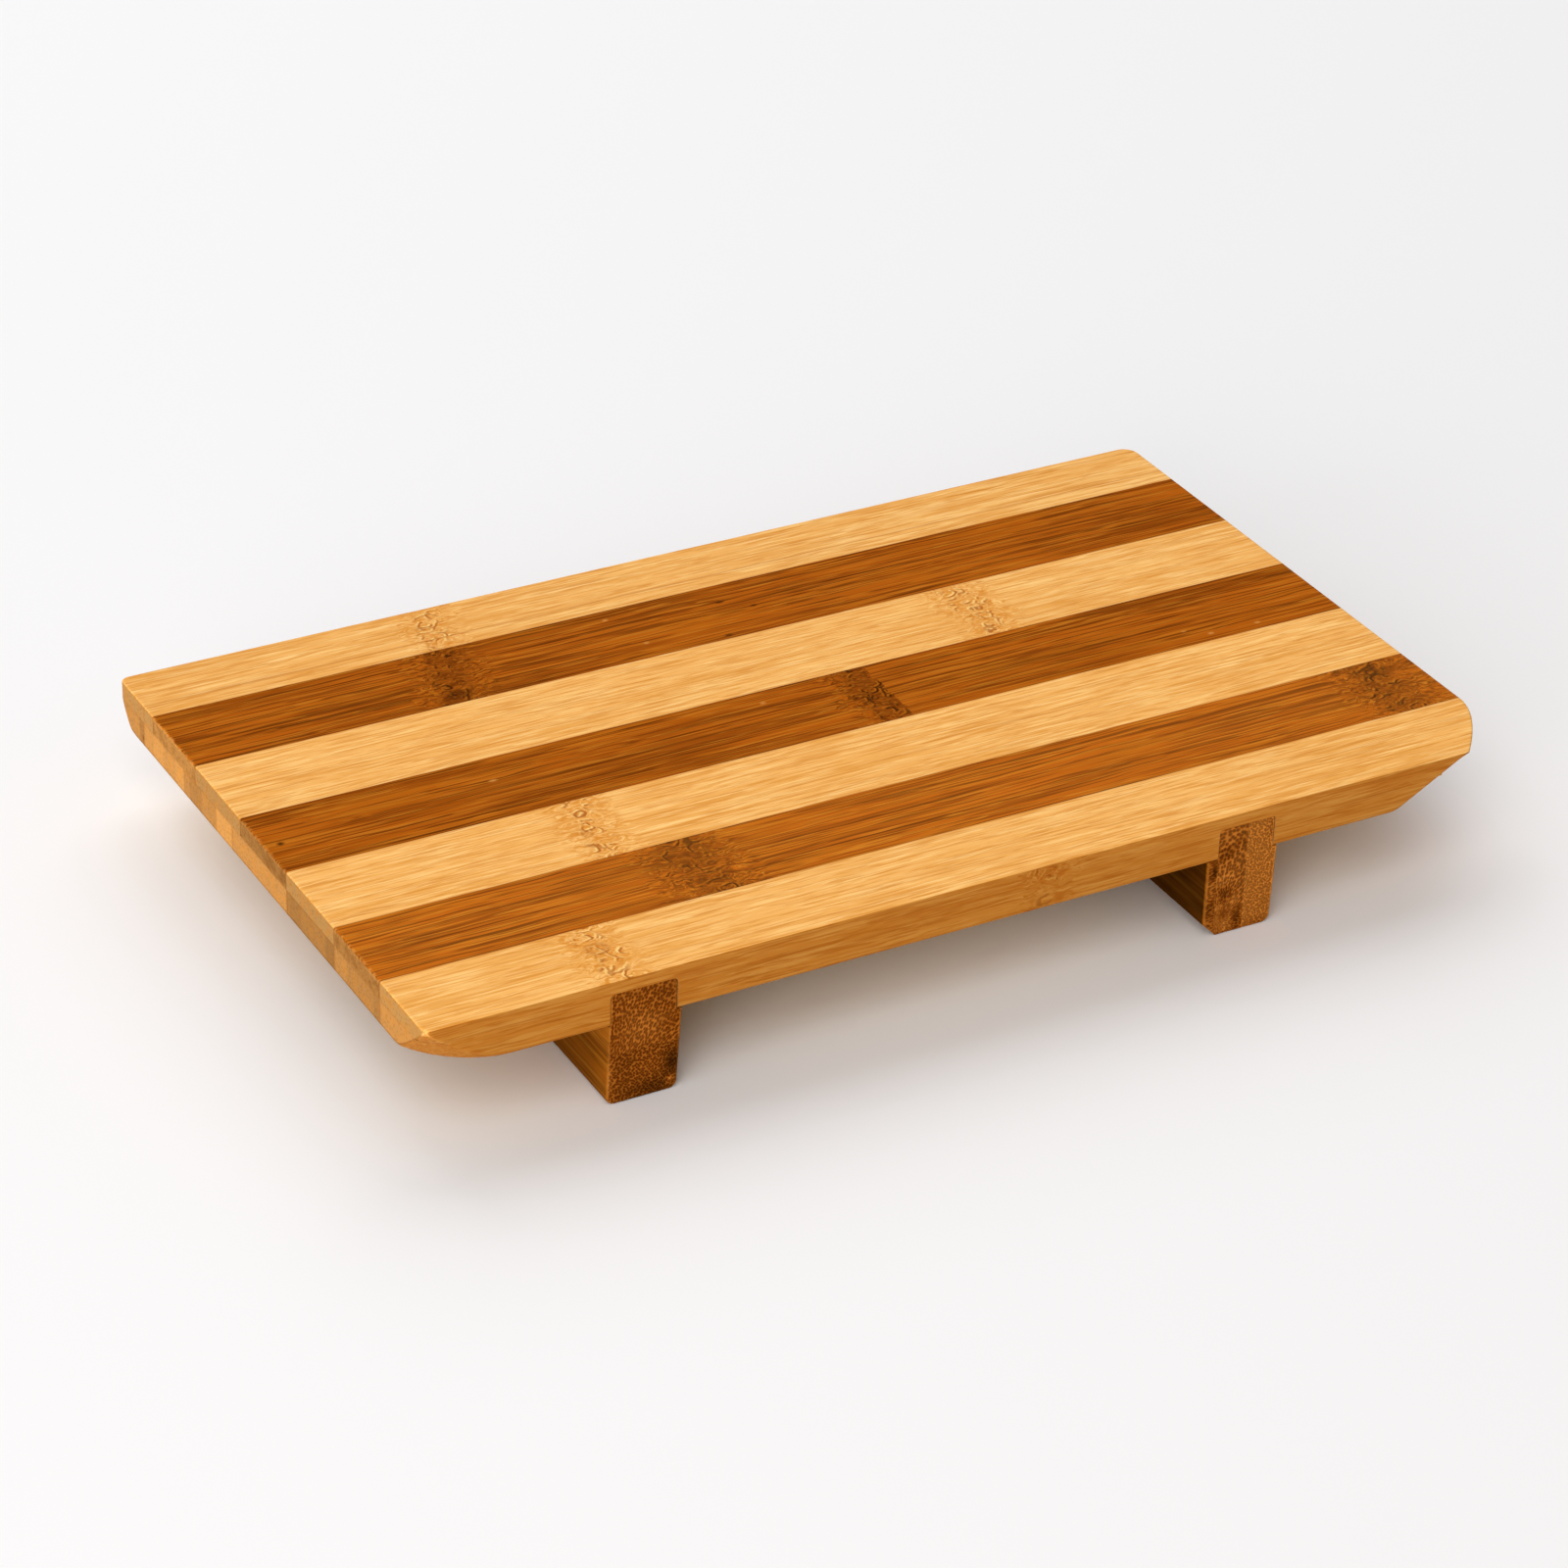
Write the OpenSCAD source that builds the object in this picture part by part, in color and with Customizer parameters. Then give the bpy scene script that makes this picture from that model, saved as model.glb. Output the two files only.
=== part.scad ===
// Sushi geta board: a two-ply striped bamboo board, glued up from slats, on two housed cross feet.
// The origin is on the table, under the middle of the board. X runs along the slats, Y to the back.

/* [Board] */
// Length of the board, along its slats
board_l = 270; // [210:1:400]
// Thickness of the upper ply, which shows the stripes
upper_ply_t = 4.3; // [3.5:0.1:7]
// Thickness of the lower ply
lower_ply_t = 6.7; // [5:0.1:10]

/* [Upper slats, from the back edge to the front edge] */
// Width of the back natural slat
slat_1a_w = 14.8; // [12:0.1:30]
// Width of the narrow natural slat glued beside it
slat_1b_w = 5.1; // [4:0.1:10]
// Width of the first carbonised slat
slat_2_w = 24.5; // [15:0.1:35]
// Width of the second natural slat
slat_3_w = 25.1; // [15:0.1:35]
// Width of the second carbonised slat
slat_4_w = 24.8; // [15:0.1:35]
// Width of the third natural slat
slat_5_w = 24.8; // [15:0.1:35]
// Width of the third carbonised slat
slat_6_w = 23.1; // [15:0.1:35]
// Width of the front natural slat
slat_7_w = 21.4; // [18:0.1:35]

/* [Lower slats] */
// How far the first lower joint lies behind the stripe joint above it
joint_step_1 = 5.6; // [0:0.1:10]
// How far the second lower joint lies behind the stripe joint above it
joint_step_2 = 6.6; // [0:0.1:12]
// How far the third lower joint lies behind the stripe joint above it
joint_step_3 = 4.5; // [0:0.1:12]

/* [Board corners] */
// Radius of the two left corners, seen from above
left_corner_r = 2.2; // [0.5:0.1:6]
// Radius of the back right corner, seen from above
back_right_corner_r = 3.8; // [0.5:0.1:6]
// Length that the front right corner's curved clip takes off the front edge
clip_front = 12.5; // [5:0.5:20]
// Length that the same clip takes off the right end
clip_end = 20.5; // [8:0.5:40]
// Length that the sloping cut under the front right corner takes off the front edge, at the underside
undercut_front = 31.6; // [22:0.2:44]
// Height of the edge that this cut leaves below the serving face
undercut_edge_t = 0.4; // [0.2:0.1:2]
// Length that the tapered relief under the front left corner takes off the front edge
relief_front = 22; // [12:0.5:28]
// Length that the same relief takes off the left end
relief_end = 13.75; // [6:0.25:20]
// Height of the edge that the relief leaves below the serving face
relief_edge_t = 0.5; // [0.2:0.1:2]
// Radius of the two back corners at the underside
back_relief_r = 8; // [6.5:0.1:12]
// Height that the back corners' reliefs rise from the underside
back_relief_rise = 6.5; // [3:0.1:8]

/* [Feet] */
// Height of the feet below the board
foot_h = 19.5; // [15:0.5:40]
// Distance from the board's left end to the left foot's tenon
left_foot_inset = 42.3; // [34:0.1:80]
// Width of the left foot's tenon
left_tenon_w = 15.7; // [10:0.1:25]
// Overhang of the left foot beyond the outer side of its tenon
left_foot_outer_shoulder = 0.3; // [0.1:0.1:5]
// Overhang of the left foot beyond the inner side of its tenon
left_foot_inner_shoulder = 1.1; // [0.1:0.1:5]
// Height of the glue line between the left foot's two layers
left_glue_z = 12; // [6:0.5:18]
// Sideways lean of the left foot's sole, towards the left end
left_foot_lean = 0.8; // [0:0.05:2]
// Distance from the board's right end to the right foot's tenon
right_foot_inset = 64; // [48:0.1:90]
// Width of the right foot's tenon
right_tenon_w = 14.5; // [10:0.1:25]
// Overhang of the right foot beyond the outer side of its tenon
right_foot_outer_shoulder = 1.1; // [0.1:0.1:5]
// Thickness of the right foot's inner strip, which stops at the board and forms the inner shoulder
right_foot_inner_strip_t = 2.5; // [1:0.1:5]
// Thickness of the right foot's middle strip
right_foot_middle_strip_t = 7.5; // [3:0.1:9]
// Sideways lean of the right foot's sole, towards the left end
right_foot_lean = 0.35; // [0:0.05:2]
// How much each side of a foot draws in from the board down to the sole
foot_taper = 0.3; // [0:0.05:1.5]
// Radius of the long edges of the soles
sole_r = 1.9; // [0.5:0.1:3]
// Width of the flat that replaces the round on the right foot's inner sole edge
sole_flat_w = 3.4; // [1:0.1:5]

/* [Housings that hold the feet] */
// How far the tenons reach into the upper ply, past the lower ply
tenon_bite = 1; // [0.2:0.1:2]
// Width of the flats along a tenon's top edges
tenon_flat = 0.9; // [0.3:0.1:2]
// Gap between a tenon and its housing, for the glue
housing_gap = 0.05; // [0:0.05:0.3]

/* [Hidden] */
// How far cuts run past what they cut
overrun = 5;
// How far the cutting block of the sloping undercut reaches
undercut_reach = 4 * undercut_front;
// Steps along the clip's curve and along a sole edge's round
clip_steps = 12;
sole_steps = 8;
// Curvature of the clip: 1 is a straight cut, and 2 a parabola
clip_curve_share = 1.5;
// Smoothness of the cones and cylinders
$fn = 96;

slat_widths = [slat_1a_w, slat_1b_w, slat_2_w, slat_3_w, slat_4_w, slat_5_w, slat_6_w, slat_7_w];
slat_names = ["1a_natural", "1b_natural", "2_carbonised", "3_natural", "4_carbonised", "5_natural",
              "6_carbonised", "7_natural"];
place_names = ["left", "middle", "right"];

// Sum of a list's first n numbers
function sum_of(list, n) = n == 0 ? 0 : list[n - 1] + sum_of(list, n - 1);

board_w = sum_of(slat_widths, len(slat_widths));
board_t = upper_ply_t + lower_ply_t;
ply_z = foot_h + lower_ply_t;
board_top = foot_h + board_t;
left_x = -board_l / 2;
right_x = board_l / 2;
front_y = -board_w / 2;
back_y = board_w / 2;

// Joint lines between the upper slats, from the back edge to the front edge
upper_joints = [for (i = [0 : len(slat_widths)]) back_y - sum_of(slat_widths, i)];
// Joint lines between the lower slats: three are stepped back, and three lie under the stripes' joints
lower_joints = [back_y, upper_joints[2] + joint_step_1, upper_joints[3] + joint_step_2,
                upper_joints[4] + joint_step_3, upper_joints[5], upper_joints[6], upper_joints[7], front_y];
lower_slats = len(lower_joints) - 1;

tenon_top = ply_z + tenon_bite;
left_tenon_x = left_x + left_foot_inset;
right_tenon_x = right_x - right_foot_inset - right_tenon_w;
right_glue_x = right_tenon_x + right_foot_middle_strip_t;
// The lower slats are cut apart by the housings, and are told apart at the housings' middles
place_limits = [left_x - overrun, left_tenon_x + left_tenon_w / 2, right_tenon_x + right_tenon_w / 2,
                right_x + overrun];

// Corner block with a round of radius r in it: side_x and side_y say which corner, as -1 or 1
module corner_waste(side_x, side_y, r) {
    corner_x = side_x * board_l / 2;
    corner_y = side_y * board_w / 2;
    difference() {
        translate([corner_x - side_x * r, corner_y - side_y * r])
            mirror([side_x < 0 ? 1 : 0, 0])
                mirror([0, side_y < 0 ? 1 : 0])
                    square(r + overrun);
        translate([corner_x - side_x * r, corner_y - side_y * r])
            circle(r);
    }
}

// Waste beyond the front right corner's clip, whose curve leaves the right end gently
module clip_waste() {
    curve = [for (i = [0 : clip_steps])
        [right_x - clip_front * pow(i / clip_steps, clip_curve_share),
         front_y + clip_end * (1 - i / clip_steps)]];
    polygon(concat(curve, [
        [right_x - clip_front, front_y - overrun],
        [right_x + overrun, front_y - overrun],
        [right_x + overrun, front_y + clip_end]]));
}

// The board seen from above
module board_outline() {
    difference() {
        translate([left_x, front_y])
            square([board_l, board_w]);
        corner_waste(-1, -1, left_corner_r);
        corner_waste(-1, 1, left_corner_r);
        corner_waste(1, 1, back_right_corner_r);
        clip_waste();
    }
}

// Waste under a corner: a block there, less a cone that widens from low_r at the underside to high_r
// at the height rise. The cone stands at [axis_x, axis_y], and side_x and side_y say which corner.
module cone_relief(side_x, side_y, axis_x, axis_y, low_r, high_r, rise) {
    slope = (high_r - low_r) / rise;
    depth = board_t + 2 * overrun;
    block_x = abs(side_x * board_l / 2 - axis_x) + overrun;
    block_y = abs(side_y * board_w / 2 - axis_y) + overrun;
    skirt = min(overrun, low_r / (2 * slope));
    translate([axis_x, axis_y, foot_h - skirt])
        difference() {
            mirror([side_x < 0 ? 1 : 0, 0, 0])
                mirror([0, side_y < 0 ? 1 : 0, 0])
                    cube([block_x, block_y, depth]);
            cylinder(h = depth, r1 = low_r - slope * skirt, r2 = low_r + slope * (depth - skirt));
        }
}

// The front left corner's relief is tangent to the front edge, and rises to the corner of the serving face
module front_left_relief() {
    low_r = (pow(relief_front, 2) + pow(relief_end, 2)) / (2 * relief_end);
    high_r = norm([relief_front, low_r]);
    cone_relief(-1, -1, left_x + relief_front, front_y + low_r, low_r, high_r, board_t - relief_edge_t);
}

// A back corner's relief is tangent to both edges, and rises to the corner's round of radius top_r
module back_relief(side_x, top_r) {
    high_r = norm([back_relief_r - top_r, back_relief_r - top_r]) + top_r;
    cone_relief(side_x, 1, side_x * (board_l / 2 - back_relief_r), back_y - back_relief_r,
                back_relief_r, high_r, back_relief_rise);
}

// The sloping cut under the front right corner leaves an even edge along the clip from the front face to
// where the clip bulges most, and runs straight on past both
module front_right_undercut() {
    trace_angle = atan2(clip_end, clip_front);
    run = (undercut_front - clip_front) * sin(trace_angle);
    slope_angle = atan2(board_t - undercut_edge_t, run);
    bulge_share = pow(1 / clip_curve_share, 1 / (clip_curve_share - 1));
    edge = [for (i = [0 : clip_steps])
        let (
            share = 1 - (1 - bulge_share) * i / clip_steps,
            across = clip_front * (1 - pow(share, clip_curve_share)),
            along = clip_end * (1 - share)
        )
        [across * cos(trace_angle) + along * sin(trace_angle),
         (along * cos(trace_angle) - across * sin(trace_angle)) * sin(slope_angle)]];
    translate([right_x - clip_front, front_y, board_top - undercut_edge_t])
        rotate([0, 0, trace_angle])
            rotate([90 - slope_angle, 0, 0])
                linear_extrude(2 * undercut_reach, center = true)
                    polygon(concat(
                        [[-undercut_reach, 0]],
                        edge,
                        [[undercut_reach, edge[clip_steps][1]],
                         [undercut_reach, -undercut_reach],
                         [-undercut_reach, -undercut_reach]]));
}

// Outline of a tenon from its right side over the flats to its left side, enlarged by gap, down to low_z
function tenon_points(x, w, low_z, gap) = [
    [x + w + gap, low_z],
    [x + w + gap, tenon_top + gap - tenon_flat],
    [x + w + gap - tenon_flat, tenon_top + gap],
    [x - gap + tenon_flat, tenon_top + gap],
    [x - gap, tenon_top + gap - tenon_flat],
    [x - gap, low_z]];

// Round between a foot's side and its sole, from the side down: side is -1 at the left and 1 at the
// right, x is where the side would meet the sole, and tilt is the side's angle from upright
function sole_round(x, side, tilt) =
    let (
        turn = 90 - side * tilt,
        centre_x = x - side * sole_r / tan((180 - turn) / 2)
    )
    [for (i = [0 : sole_steps])
        let (a = 90 - turn * (1 - i / sole_steps))
        [centre_x + side * sole_r * cos(a), sole_r - sole_r * sin(a)]];

// Flat at a sole's left edge, from the side down
function sole_flat(x, tilt) = [
    [x + sole_flat_w * sin(tilt), sole_flat_w * cos(tilt)],
    [x + sole_flat_w, 0]];

function reversed(points) = [for (i = [len(points) - 1 : -1 : 0]) points[i]];

// Section of a foot: x and w place its tenon, and left_over and right_over are its shoulders
module foot_section(x, w, left_over, right_over, lean, has_flat) {
    top_left = x - left_over;
    top_right = x + w + right_over;
    left_tilt = atan2(lean - foot_taper, foot_h);
    right_tilt = atan2(lean + foot_taper, foot_h);
    low_left = top_left - lean + foot_taper;
    low_right = top_right - lean - foot_taper;
    polygon(concat(
        [[top_left, foot_h]],
        has_flat ? sole_flat(low_left, left_tilt) : sole_round(low_left, -1, left_tilt),
        reversed(sole_round(low_right, 1, right_tilt)),
        [[top_right, foot_h]],
        tenon_points(x, w, foot_h, 0)));
}

module left_foot_section() {
    foot_section(left_tenon_x, left_tenon_w, left_foot_outer_shoulder, left_foot_inner_shoulder,
                 left_foot_lean, false);
}

module right_foot_section() {
    foot_section(right_tenon_x, right_tenon_w, right_foot_inner_strip_t, right_foot_outer_shoulder,
                 right_foot_lean, true);
}

// Extrudes a section that is drawn in X and Z along the whole width of the board, plus more at each end
module across_board(more) {
    translate([0, back_y + more, 0])
        rotate([90, 0, 0])
            linear_extrude(board_w + 2 * more)
                children();
}

// Through housing for a tenon, open at the underside and at both long edges
module housing(x, w) {
    across_board(overrun)
        polygon(tenon_points(x, w, foot_h - overrun, housing_gap));
}

// The whole board as it leaves the workshop, before it is told apart into slats
module shaped_board() {
    difference() {
        translate([0, 0, foot_h])
            linear_extrude(board_t)
                board_outline();
        front_left_relief();
        back_relief(-1, left_corner_r);
        back_relief(1, back_right_corner_r);
        front_right_undercut();
        housing(left_tenon_x, left_tenon_w);
        housing(right_tenon_x, right_tenon_w);
    }
}

// The part of the shaped board between two planes in each direction
module board_piece(x_from, x_to, y_from, y_to, z_from, z_to) {
    intersection() {
        shaped_board();
        translate([x_from, y_from, z_from])
            cube([x_to - x_from, y_to - y_from, z_to - z_from]);
    }
}

// A long edge that lies on the board's own edge is cut free of it, the others are joints
function outer_y(y) = y == back_y ? y + overrun : y == front_y ? y - overrun : y;

module upper_slat(i) {
    color(slat_names[i] == "2_carbonised" || slat_names[i] == "4_carbonised"
          || slat_names[i] == "6_carbonised" ? "saddlebrown" : "burlywood")
        board_piece(left_x - overrun, right_x + overrun,
                    outer_y(upper_joints[i + 1]), outer_y(upper_joints[i]),
                    ply_z, board_top + overrun);
}

module lower_slat(row, place) {
    color("peru")
        board_piece(place_limits[place], place_limits[place + 1],
                    outer_y(lower_joints[row + 1]), outer_y(lower_joints[row]),
                    foot_h - overrun, ply_z);
}

// A strip of a foot's section between two upright planes
module between(x_from, x_to) {
    intersection() {
        children();
        translate([x_from, -overrun])
            square([x_to - x_from, board_top + 2 * overrun]);
    }
}

// A layer of a foot's section between two level planes
module layered(z_from, z_to) {
    intersection() {
        children();
        translate([left_x, z_from])
            square([board_l, z_to - z_from]);
    }
}

module left_foot_upper_layer() {
    color("sienna")
        across_board(0)
            layered(left_glue_z, board_top)
                left_foot_section();
}

module left_foot_sole_layer() {
    color("chocolate")
        across_board(0)
            layered(-overrun, left_glue_z)
                left_foot_section();
}

module right_foot_inner_strip() {
    color("chocolate")
        across_board(0)
            between(left_x, right_tenon_x)
                right_foot_section();
}

module right_foot_middle_strip() {
    color("saddlebrown")
        across_board(0)
            between(right_tenon_x, right_glue_x)
                right_foot_section();
}

module right_foot_outer_strip() {
    color("sienna")
        across_board(0)
            between(right_glue_x, right_x)
                right_foot_section();
}

for (i = [0 : len(slat_names) - 1])
    upper_slat(i);
for (row = [0 : lower_slats - 1], place = [0 : len(place_names) - 1])
    lower_slat(row, place);
left_foot_upper_layer();
left_foot_sole_layer();
right_foot_inner_strip();
right_foot_middle_strip();
right_foot_outer_strip();
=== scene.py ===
import math
from functools import partial
import bmesh
import bpy
import numpy as np
from mathutils import Matrix, Vector


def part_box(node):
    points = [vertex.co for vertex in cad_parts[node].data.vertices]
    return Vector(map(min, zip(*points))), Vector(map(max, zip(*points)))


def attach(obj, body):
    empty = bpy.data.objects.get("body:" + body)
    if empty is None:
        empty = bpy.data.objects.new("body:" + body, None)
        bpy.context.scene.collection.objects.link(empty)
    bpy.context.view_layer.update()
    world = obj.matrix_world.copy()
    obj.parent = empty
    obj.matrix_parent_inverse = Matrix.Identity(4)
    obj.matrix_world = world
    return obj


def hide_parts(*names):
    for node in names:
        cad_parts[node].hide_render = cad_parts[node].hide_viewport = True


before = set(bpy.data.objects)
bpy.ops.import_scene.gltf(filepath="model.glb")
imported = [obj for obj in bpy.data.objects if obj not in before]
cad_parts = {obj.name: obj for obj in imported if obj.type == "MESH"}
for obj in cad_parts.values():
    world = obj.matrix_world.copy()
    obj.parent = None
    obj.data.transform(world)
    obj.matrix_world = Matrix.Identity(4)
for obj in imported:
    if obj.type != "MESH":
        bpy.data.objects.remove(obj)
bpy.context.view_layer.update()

print("loaded", len(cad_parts), "pieces of the board")

mm = 0.001

# The board's outer shape in millimetres, on the frame's axes
board = {
    "length": 270.0, "width": 163.6, "top": 30.5, "ply": 26.2, "under": 19.5,
    "leftCorner": 2.2, "backRightCorner": 3.8,
    "clipFront": 12.5, "clipEnd": 20.5, "clipCurve": 1.5,
    "undercutFront": 31.6, "undercutEdge": 0.4, "undercutRound": 1.4,
    "reliefFront": 22.0, "reliefEnd": 13.75, "reliefEdge": 0.5, "reliefRound": 0.6,
    "backRelief": 8.0, "backReliefRise": 6.5, "backReliefRound": 0.4,
    "topEase": 0.5, "underEase": 0.8, "easeShare": 0.45,
}
leftX, rightX = -board["length"] / 2, board["length"] / 2
frontY, backY = -board["width"] / 2, board["width"] / 2
topZ, plyZ, underZ = board["top"], board["ply"], board["under"]

# Where the feet's tenons are let into the board, and how their upper corners are rounded
housings = [
    {"low": -92.75, "high": -76.95, "top": 27.25, "round": 1.2},
    {"low": 56.45, "high": 71.05, "top": 27.25, "round": 0.7},
]

# The straight steps that stand for a curved edge, and how far round the clipped corner and in from the ends
# the edge of the clip and the sloping cuts are looked for, in millimetres
search = {"curveSteps": 25, "clip": 7.5, "slopeLeft": 40, "slopeRight": 45, "slopeSteps": 1500}


def easeDrop(distance, radius):
    # how far a quarter round of that radius has fallen at a distance from the edge
    inside = np.clip(radius - distance, 0, radius)
    return radius - np.sqrt(np.maximum(radius ** 2 - inside ** 2, 0))


def softRise(distance, width):
    # zero before the bend, the distance itself after it, and a smooth bend between
    bend = (distance + width) ** 2 / (4 * width)
    return np.where(distance < -width, 0, np.where(distance > width, distance, bend))


def outlineLeft(y):
    # the left end's place in each row, with its two rounded corners
    radius = board["leftCorner"]
    return leftX + np.maximum(easeDrop(y - frontY, radius), easeDrop(backY - y, radius))


def outlineRight(y):
    # the right end's place in each row, with the clipped corner and the rounded one
    share = np.clip(1 - (y - frontY) / board["clipEnd"], 0, 1)
    clip = board["clipFront"] * share ** board["clipCurve"]
    return rightX - clip - easeDrop(backY - y, board["backRightCorner"])


def edgeDistance(x, y):
    # distance in plan to the board's outer edge
    left, right, front, back = x - leftX, rightX - x, y - frontY, backY - y
    distance = np.minimum(np.minimum(left, right), np.minimum(front, back))
    corners = [(left, front, board["leftCorner"]), (left, back, board["leftCorner"]),
               (right, back, board["backRightCorner"])]
    for across, along, radius in corners:
        inCorner = (across < radius) & (along < radius)
        rounded = radius - np.hypot(radius - across, radius - along)
        distance = np.where(inCorner, rounded, distance)
    share = np.linspace(0, 1, search["curveSteps"])
    clipX = rightX - board["clipFront"] * share ** board["clipCurve"]
    clipY = frontY + board["clipEnd"] * (1 - share)
    near = (right < board["clipFront"] + search["clip"]) & (front < board["clipEnd"] + search["clip"])
    if near.any():
        px, py = x[near][:, None], y[near][:, None]
        dx, dy = np.diff(clipX)[None], np.diff(clipY)[None]
        t = np.clip(((px - clipX[:-1]) * dx + (py - clipY[:-1]) * dy) / (dx ** 2 + dy ** 2), 0, 1)
        toClip = np.hypot(px - clipX[:-1] - t * dx, py - clipY[:-1] - t * dy).min(1)
        distance[near] = np.minimum(distance[near], toClip)
    return np.maximum(distance, 0)


def undersideHeight(x, y):
    # height of the shaped underside, with the reliefs at three corners and the sloping cut at the fourth
    thick = topZ - underZ
    lowR = (board["reliefFront"] ** 2 + board["reliefEnd"] ** 2) / (2 * board["reliefEnd"])
    highR = math.hypot(board["reliefFront"], lowR)
    axisX, axisY = leftX + board["reliefFront"], frontY + lowR
    out = np.hypot(np.minimum(x - axisX, 0), np.minimum(y - axisY, 0)) - lowR
    height = underZ + softRise(out, board["reliefRound"]) * (thick - board["reliefEdge"]) / (highR - lowR)
    low, backRise = board["backRelief"], board["backReliefRise"]
    for side, radius in ((-1, board["leftCorner"]), (1, board["backRightCorner"])):
        high = math.hypot(low - radius, low - radius) + radius
        dx = np.maximum(side * x - (rightX - low), 0)
        dy = np.maximum(y - (backY - low), 0)
        rise = softRise(np.hypot(dx, dy) - low, board["backReliefRound"]) * backRise / (high - low)
        height = np.maximum(height, underZ + np.where((dx > 0) & (dy > 0), rise, 0))
    angle = math.atan2(board["clipEnd"], board["clipFront"])
    run = (board["undercutFront"] - board["clipFront"]) * math.sin(angle)
    past = (x - rightX + board["undercutFront"]) * math.sin(angle) - (y - frontY) * math.cos(angle)
    # the cut keeps an even edge along the clip's bulge, and runs straight on past it
    curve = board["clipCurve"]
    share = np.linspace(1, (1 / curve) ** (1 / (curve - 1)), search["curveSteps"])
    across, ahead = board["clipFront"] * (1 - share ** curve), board["clipEnd"] * (1 - share)
    bulgeAt = across * math.cos(angle) + ahead * math.sin(angle)
    bulge = across * math.sin(angle) - ahead * math.cos(angle)
    along = (x - rightX + board["clipFront"]) * math.cos(angle) + (y - frontY) * math.sin(angle)
    past = past - np.interp(along, bulgeAt, bulge)
    rise = softRise(past, board["undercutRound"]) * (thick - board["undercutEdge"]) / run
    return np.maximum(height, underZ + rise)


def slopeCrossing(y, start, stop):
    # where the underside reaches the joint between the plies in each row, going out from start to stop
    steps = np.linspace(start, stop, search["slopeSteps"])
    above = undersideHeight(*np.meshgrid(steps, y)) >= plyZ
    return steps[np.where(above.any(1), above.argmax(1), len(steps) - 1)]


# The slats' mesh lines, in millimetres: their distances from an eased edge and a glued one, and how far out
# and how closely they stand at a knuckle, a small mark, a housing wall and the front and back edges. The
# cross lines bend to the outline in the end bands, and are straight further in
spacing = {
    "eased": (0, 0.03, 0.09, 0.18, 0.3, 0.45, 0.62, 0.85), "glued": (0, 0.1), "atEdge": 0.1,
    "knuckle": (11, 0.28), "scar": (2.2, 0.28), "housing": (0.4, 1.6, 0.2),
    "front": (3, 0.3), "back": (4, 0.33), "wallPair": 0.004, "wallGap": 0.03,
    "endBand": 0.9, "straightLeft": 14, "straightRight": 22,
}


def clusteredLines(low, high, pitch, fineLow, fineHigh, zones=()):
    # positions from low to high, finer inside the zones and drawn together at eased ends
    lines = [low + d for d in spacing["eased" if fineLow else "glued"]]
    tail = [high - d for d in spacing["eased" if fineHigh else "glued"]]
    position, stop = lines[-1], tail[-1]
    while position < stop:
        step = ([fine for start, end, fine in zones if start < position < end] or [pitch])[-1]
        position += step
        if position < stop - step / 2:
            lines.append(position)
    return np.array(sorted(lines + tail))


def borderLoop(rows, columns):
    # the numbers of a grid's outer points, once round
    grid = np.arange(rows * columns).reshape(rows, columns)
    return np.concatenate([grid[0, :-1], grid[:-1, -1], grid[-1, :0:-1], grid[:0:-1, 0]])


def latticeMesh(name, first, loops, last, marks, look):
    # closed mesh between two grids that face away from each other, joined by loops round their borders
    rows, columns = first.shape[:2]
    grid = np.arange(rows * columns).reshape(rows, columns)
    loop = borderLoop(rows, columns)
    count, size = rows * columns, len(loop)
    points = np.concatenate([first.reshape(-1, 3), *loops, last.reshape(-1, 3)])
    lastStart = count + size * len(loops)
    quads = [np.stack([grid[:-1, :-1], grid[:-1, 1:], grid[1:, 1:], grid[1:, :-1]], -1).reshape(-1, 4)]
    quads.append(quads[0][:, ::-1] + lastStart)
    rings = [loop, *(count + size * i + np.arange(size) for i in range(len(loops))), loop + lastStart]
    for upper, lower in zip(rings[:-1], rings[1:]):
        quads.append(np.stack([lower, np.roll(lower, -1), np.roll(upper, -1), upper], -1))
    mesh = bpy.data.meshes.new(name)
    mesh.from_pydata((points * mm).tolist(), [], np.concatenate(quads).tolist())
    values = {key: np.concatenate([v[0].ravel(), *v[1], v[2].ravel()]) for key, v in marks.items()}
    values["tone"] = toneAndShadeMarks(points, look)
    values["scar"] = scarMarks(points, look.get("scars", ()))
    for key, flat in values.items():
        mesh.attributes.new(key, "FLOAT", "POINT").data.foreach_set("value", flat.astype(np.float32))
    return mesh


# A mark's fade: where a dot and a ring end, in radii, and how steeply a ring falls to both sides
scarShape = {"dot": 1.5, "ring": 1.3, "steep": 2.6}


def scarMarks(points, scars):
    # small knots and nicks, from a full dot at hollow 0 to a ring at hollow 1
    value = np.zeros(len(points))
    for x, y, z, radius, stretch, hollow, depth in scars:
        along = (points[:, 0] - x) / stretch
        away = np.sqrt(along ** 2 + (points[:, 1] - y) ** 2 + (points[:, 2] - z) ** 2) / radius
        dot = np.clip(scarShape["dot"] - away, 0, 1)
        ring = np.clip(scarShape["ring"] - np.abs(away - 1) * scarShape["steep"], 0, 1)
        mark = (dot * (1 - hollow) + ring * hollow) * depth
        value = np.where(np.abs(mark) > np.abs(value), mark, value)
    return value


# How tones fade, in millimetres: a block's sides, a slat's cut ends, a soft spot's depth. The clipped
# corner's upper arris is darkened with painted shade, between two depths below the top
toneFades = {
    "block": 0.4, "endReach": 0.4, "endFade": 0.3, "spotDepth": 5.0,
    "clipShade": -1.1, "clipReach": 1.0, "clipWidth": 0.15, "clipFrom": 0.12, "clipTo": 1.0,
}


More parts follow.
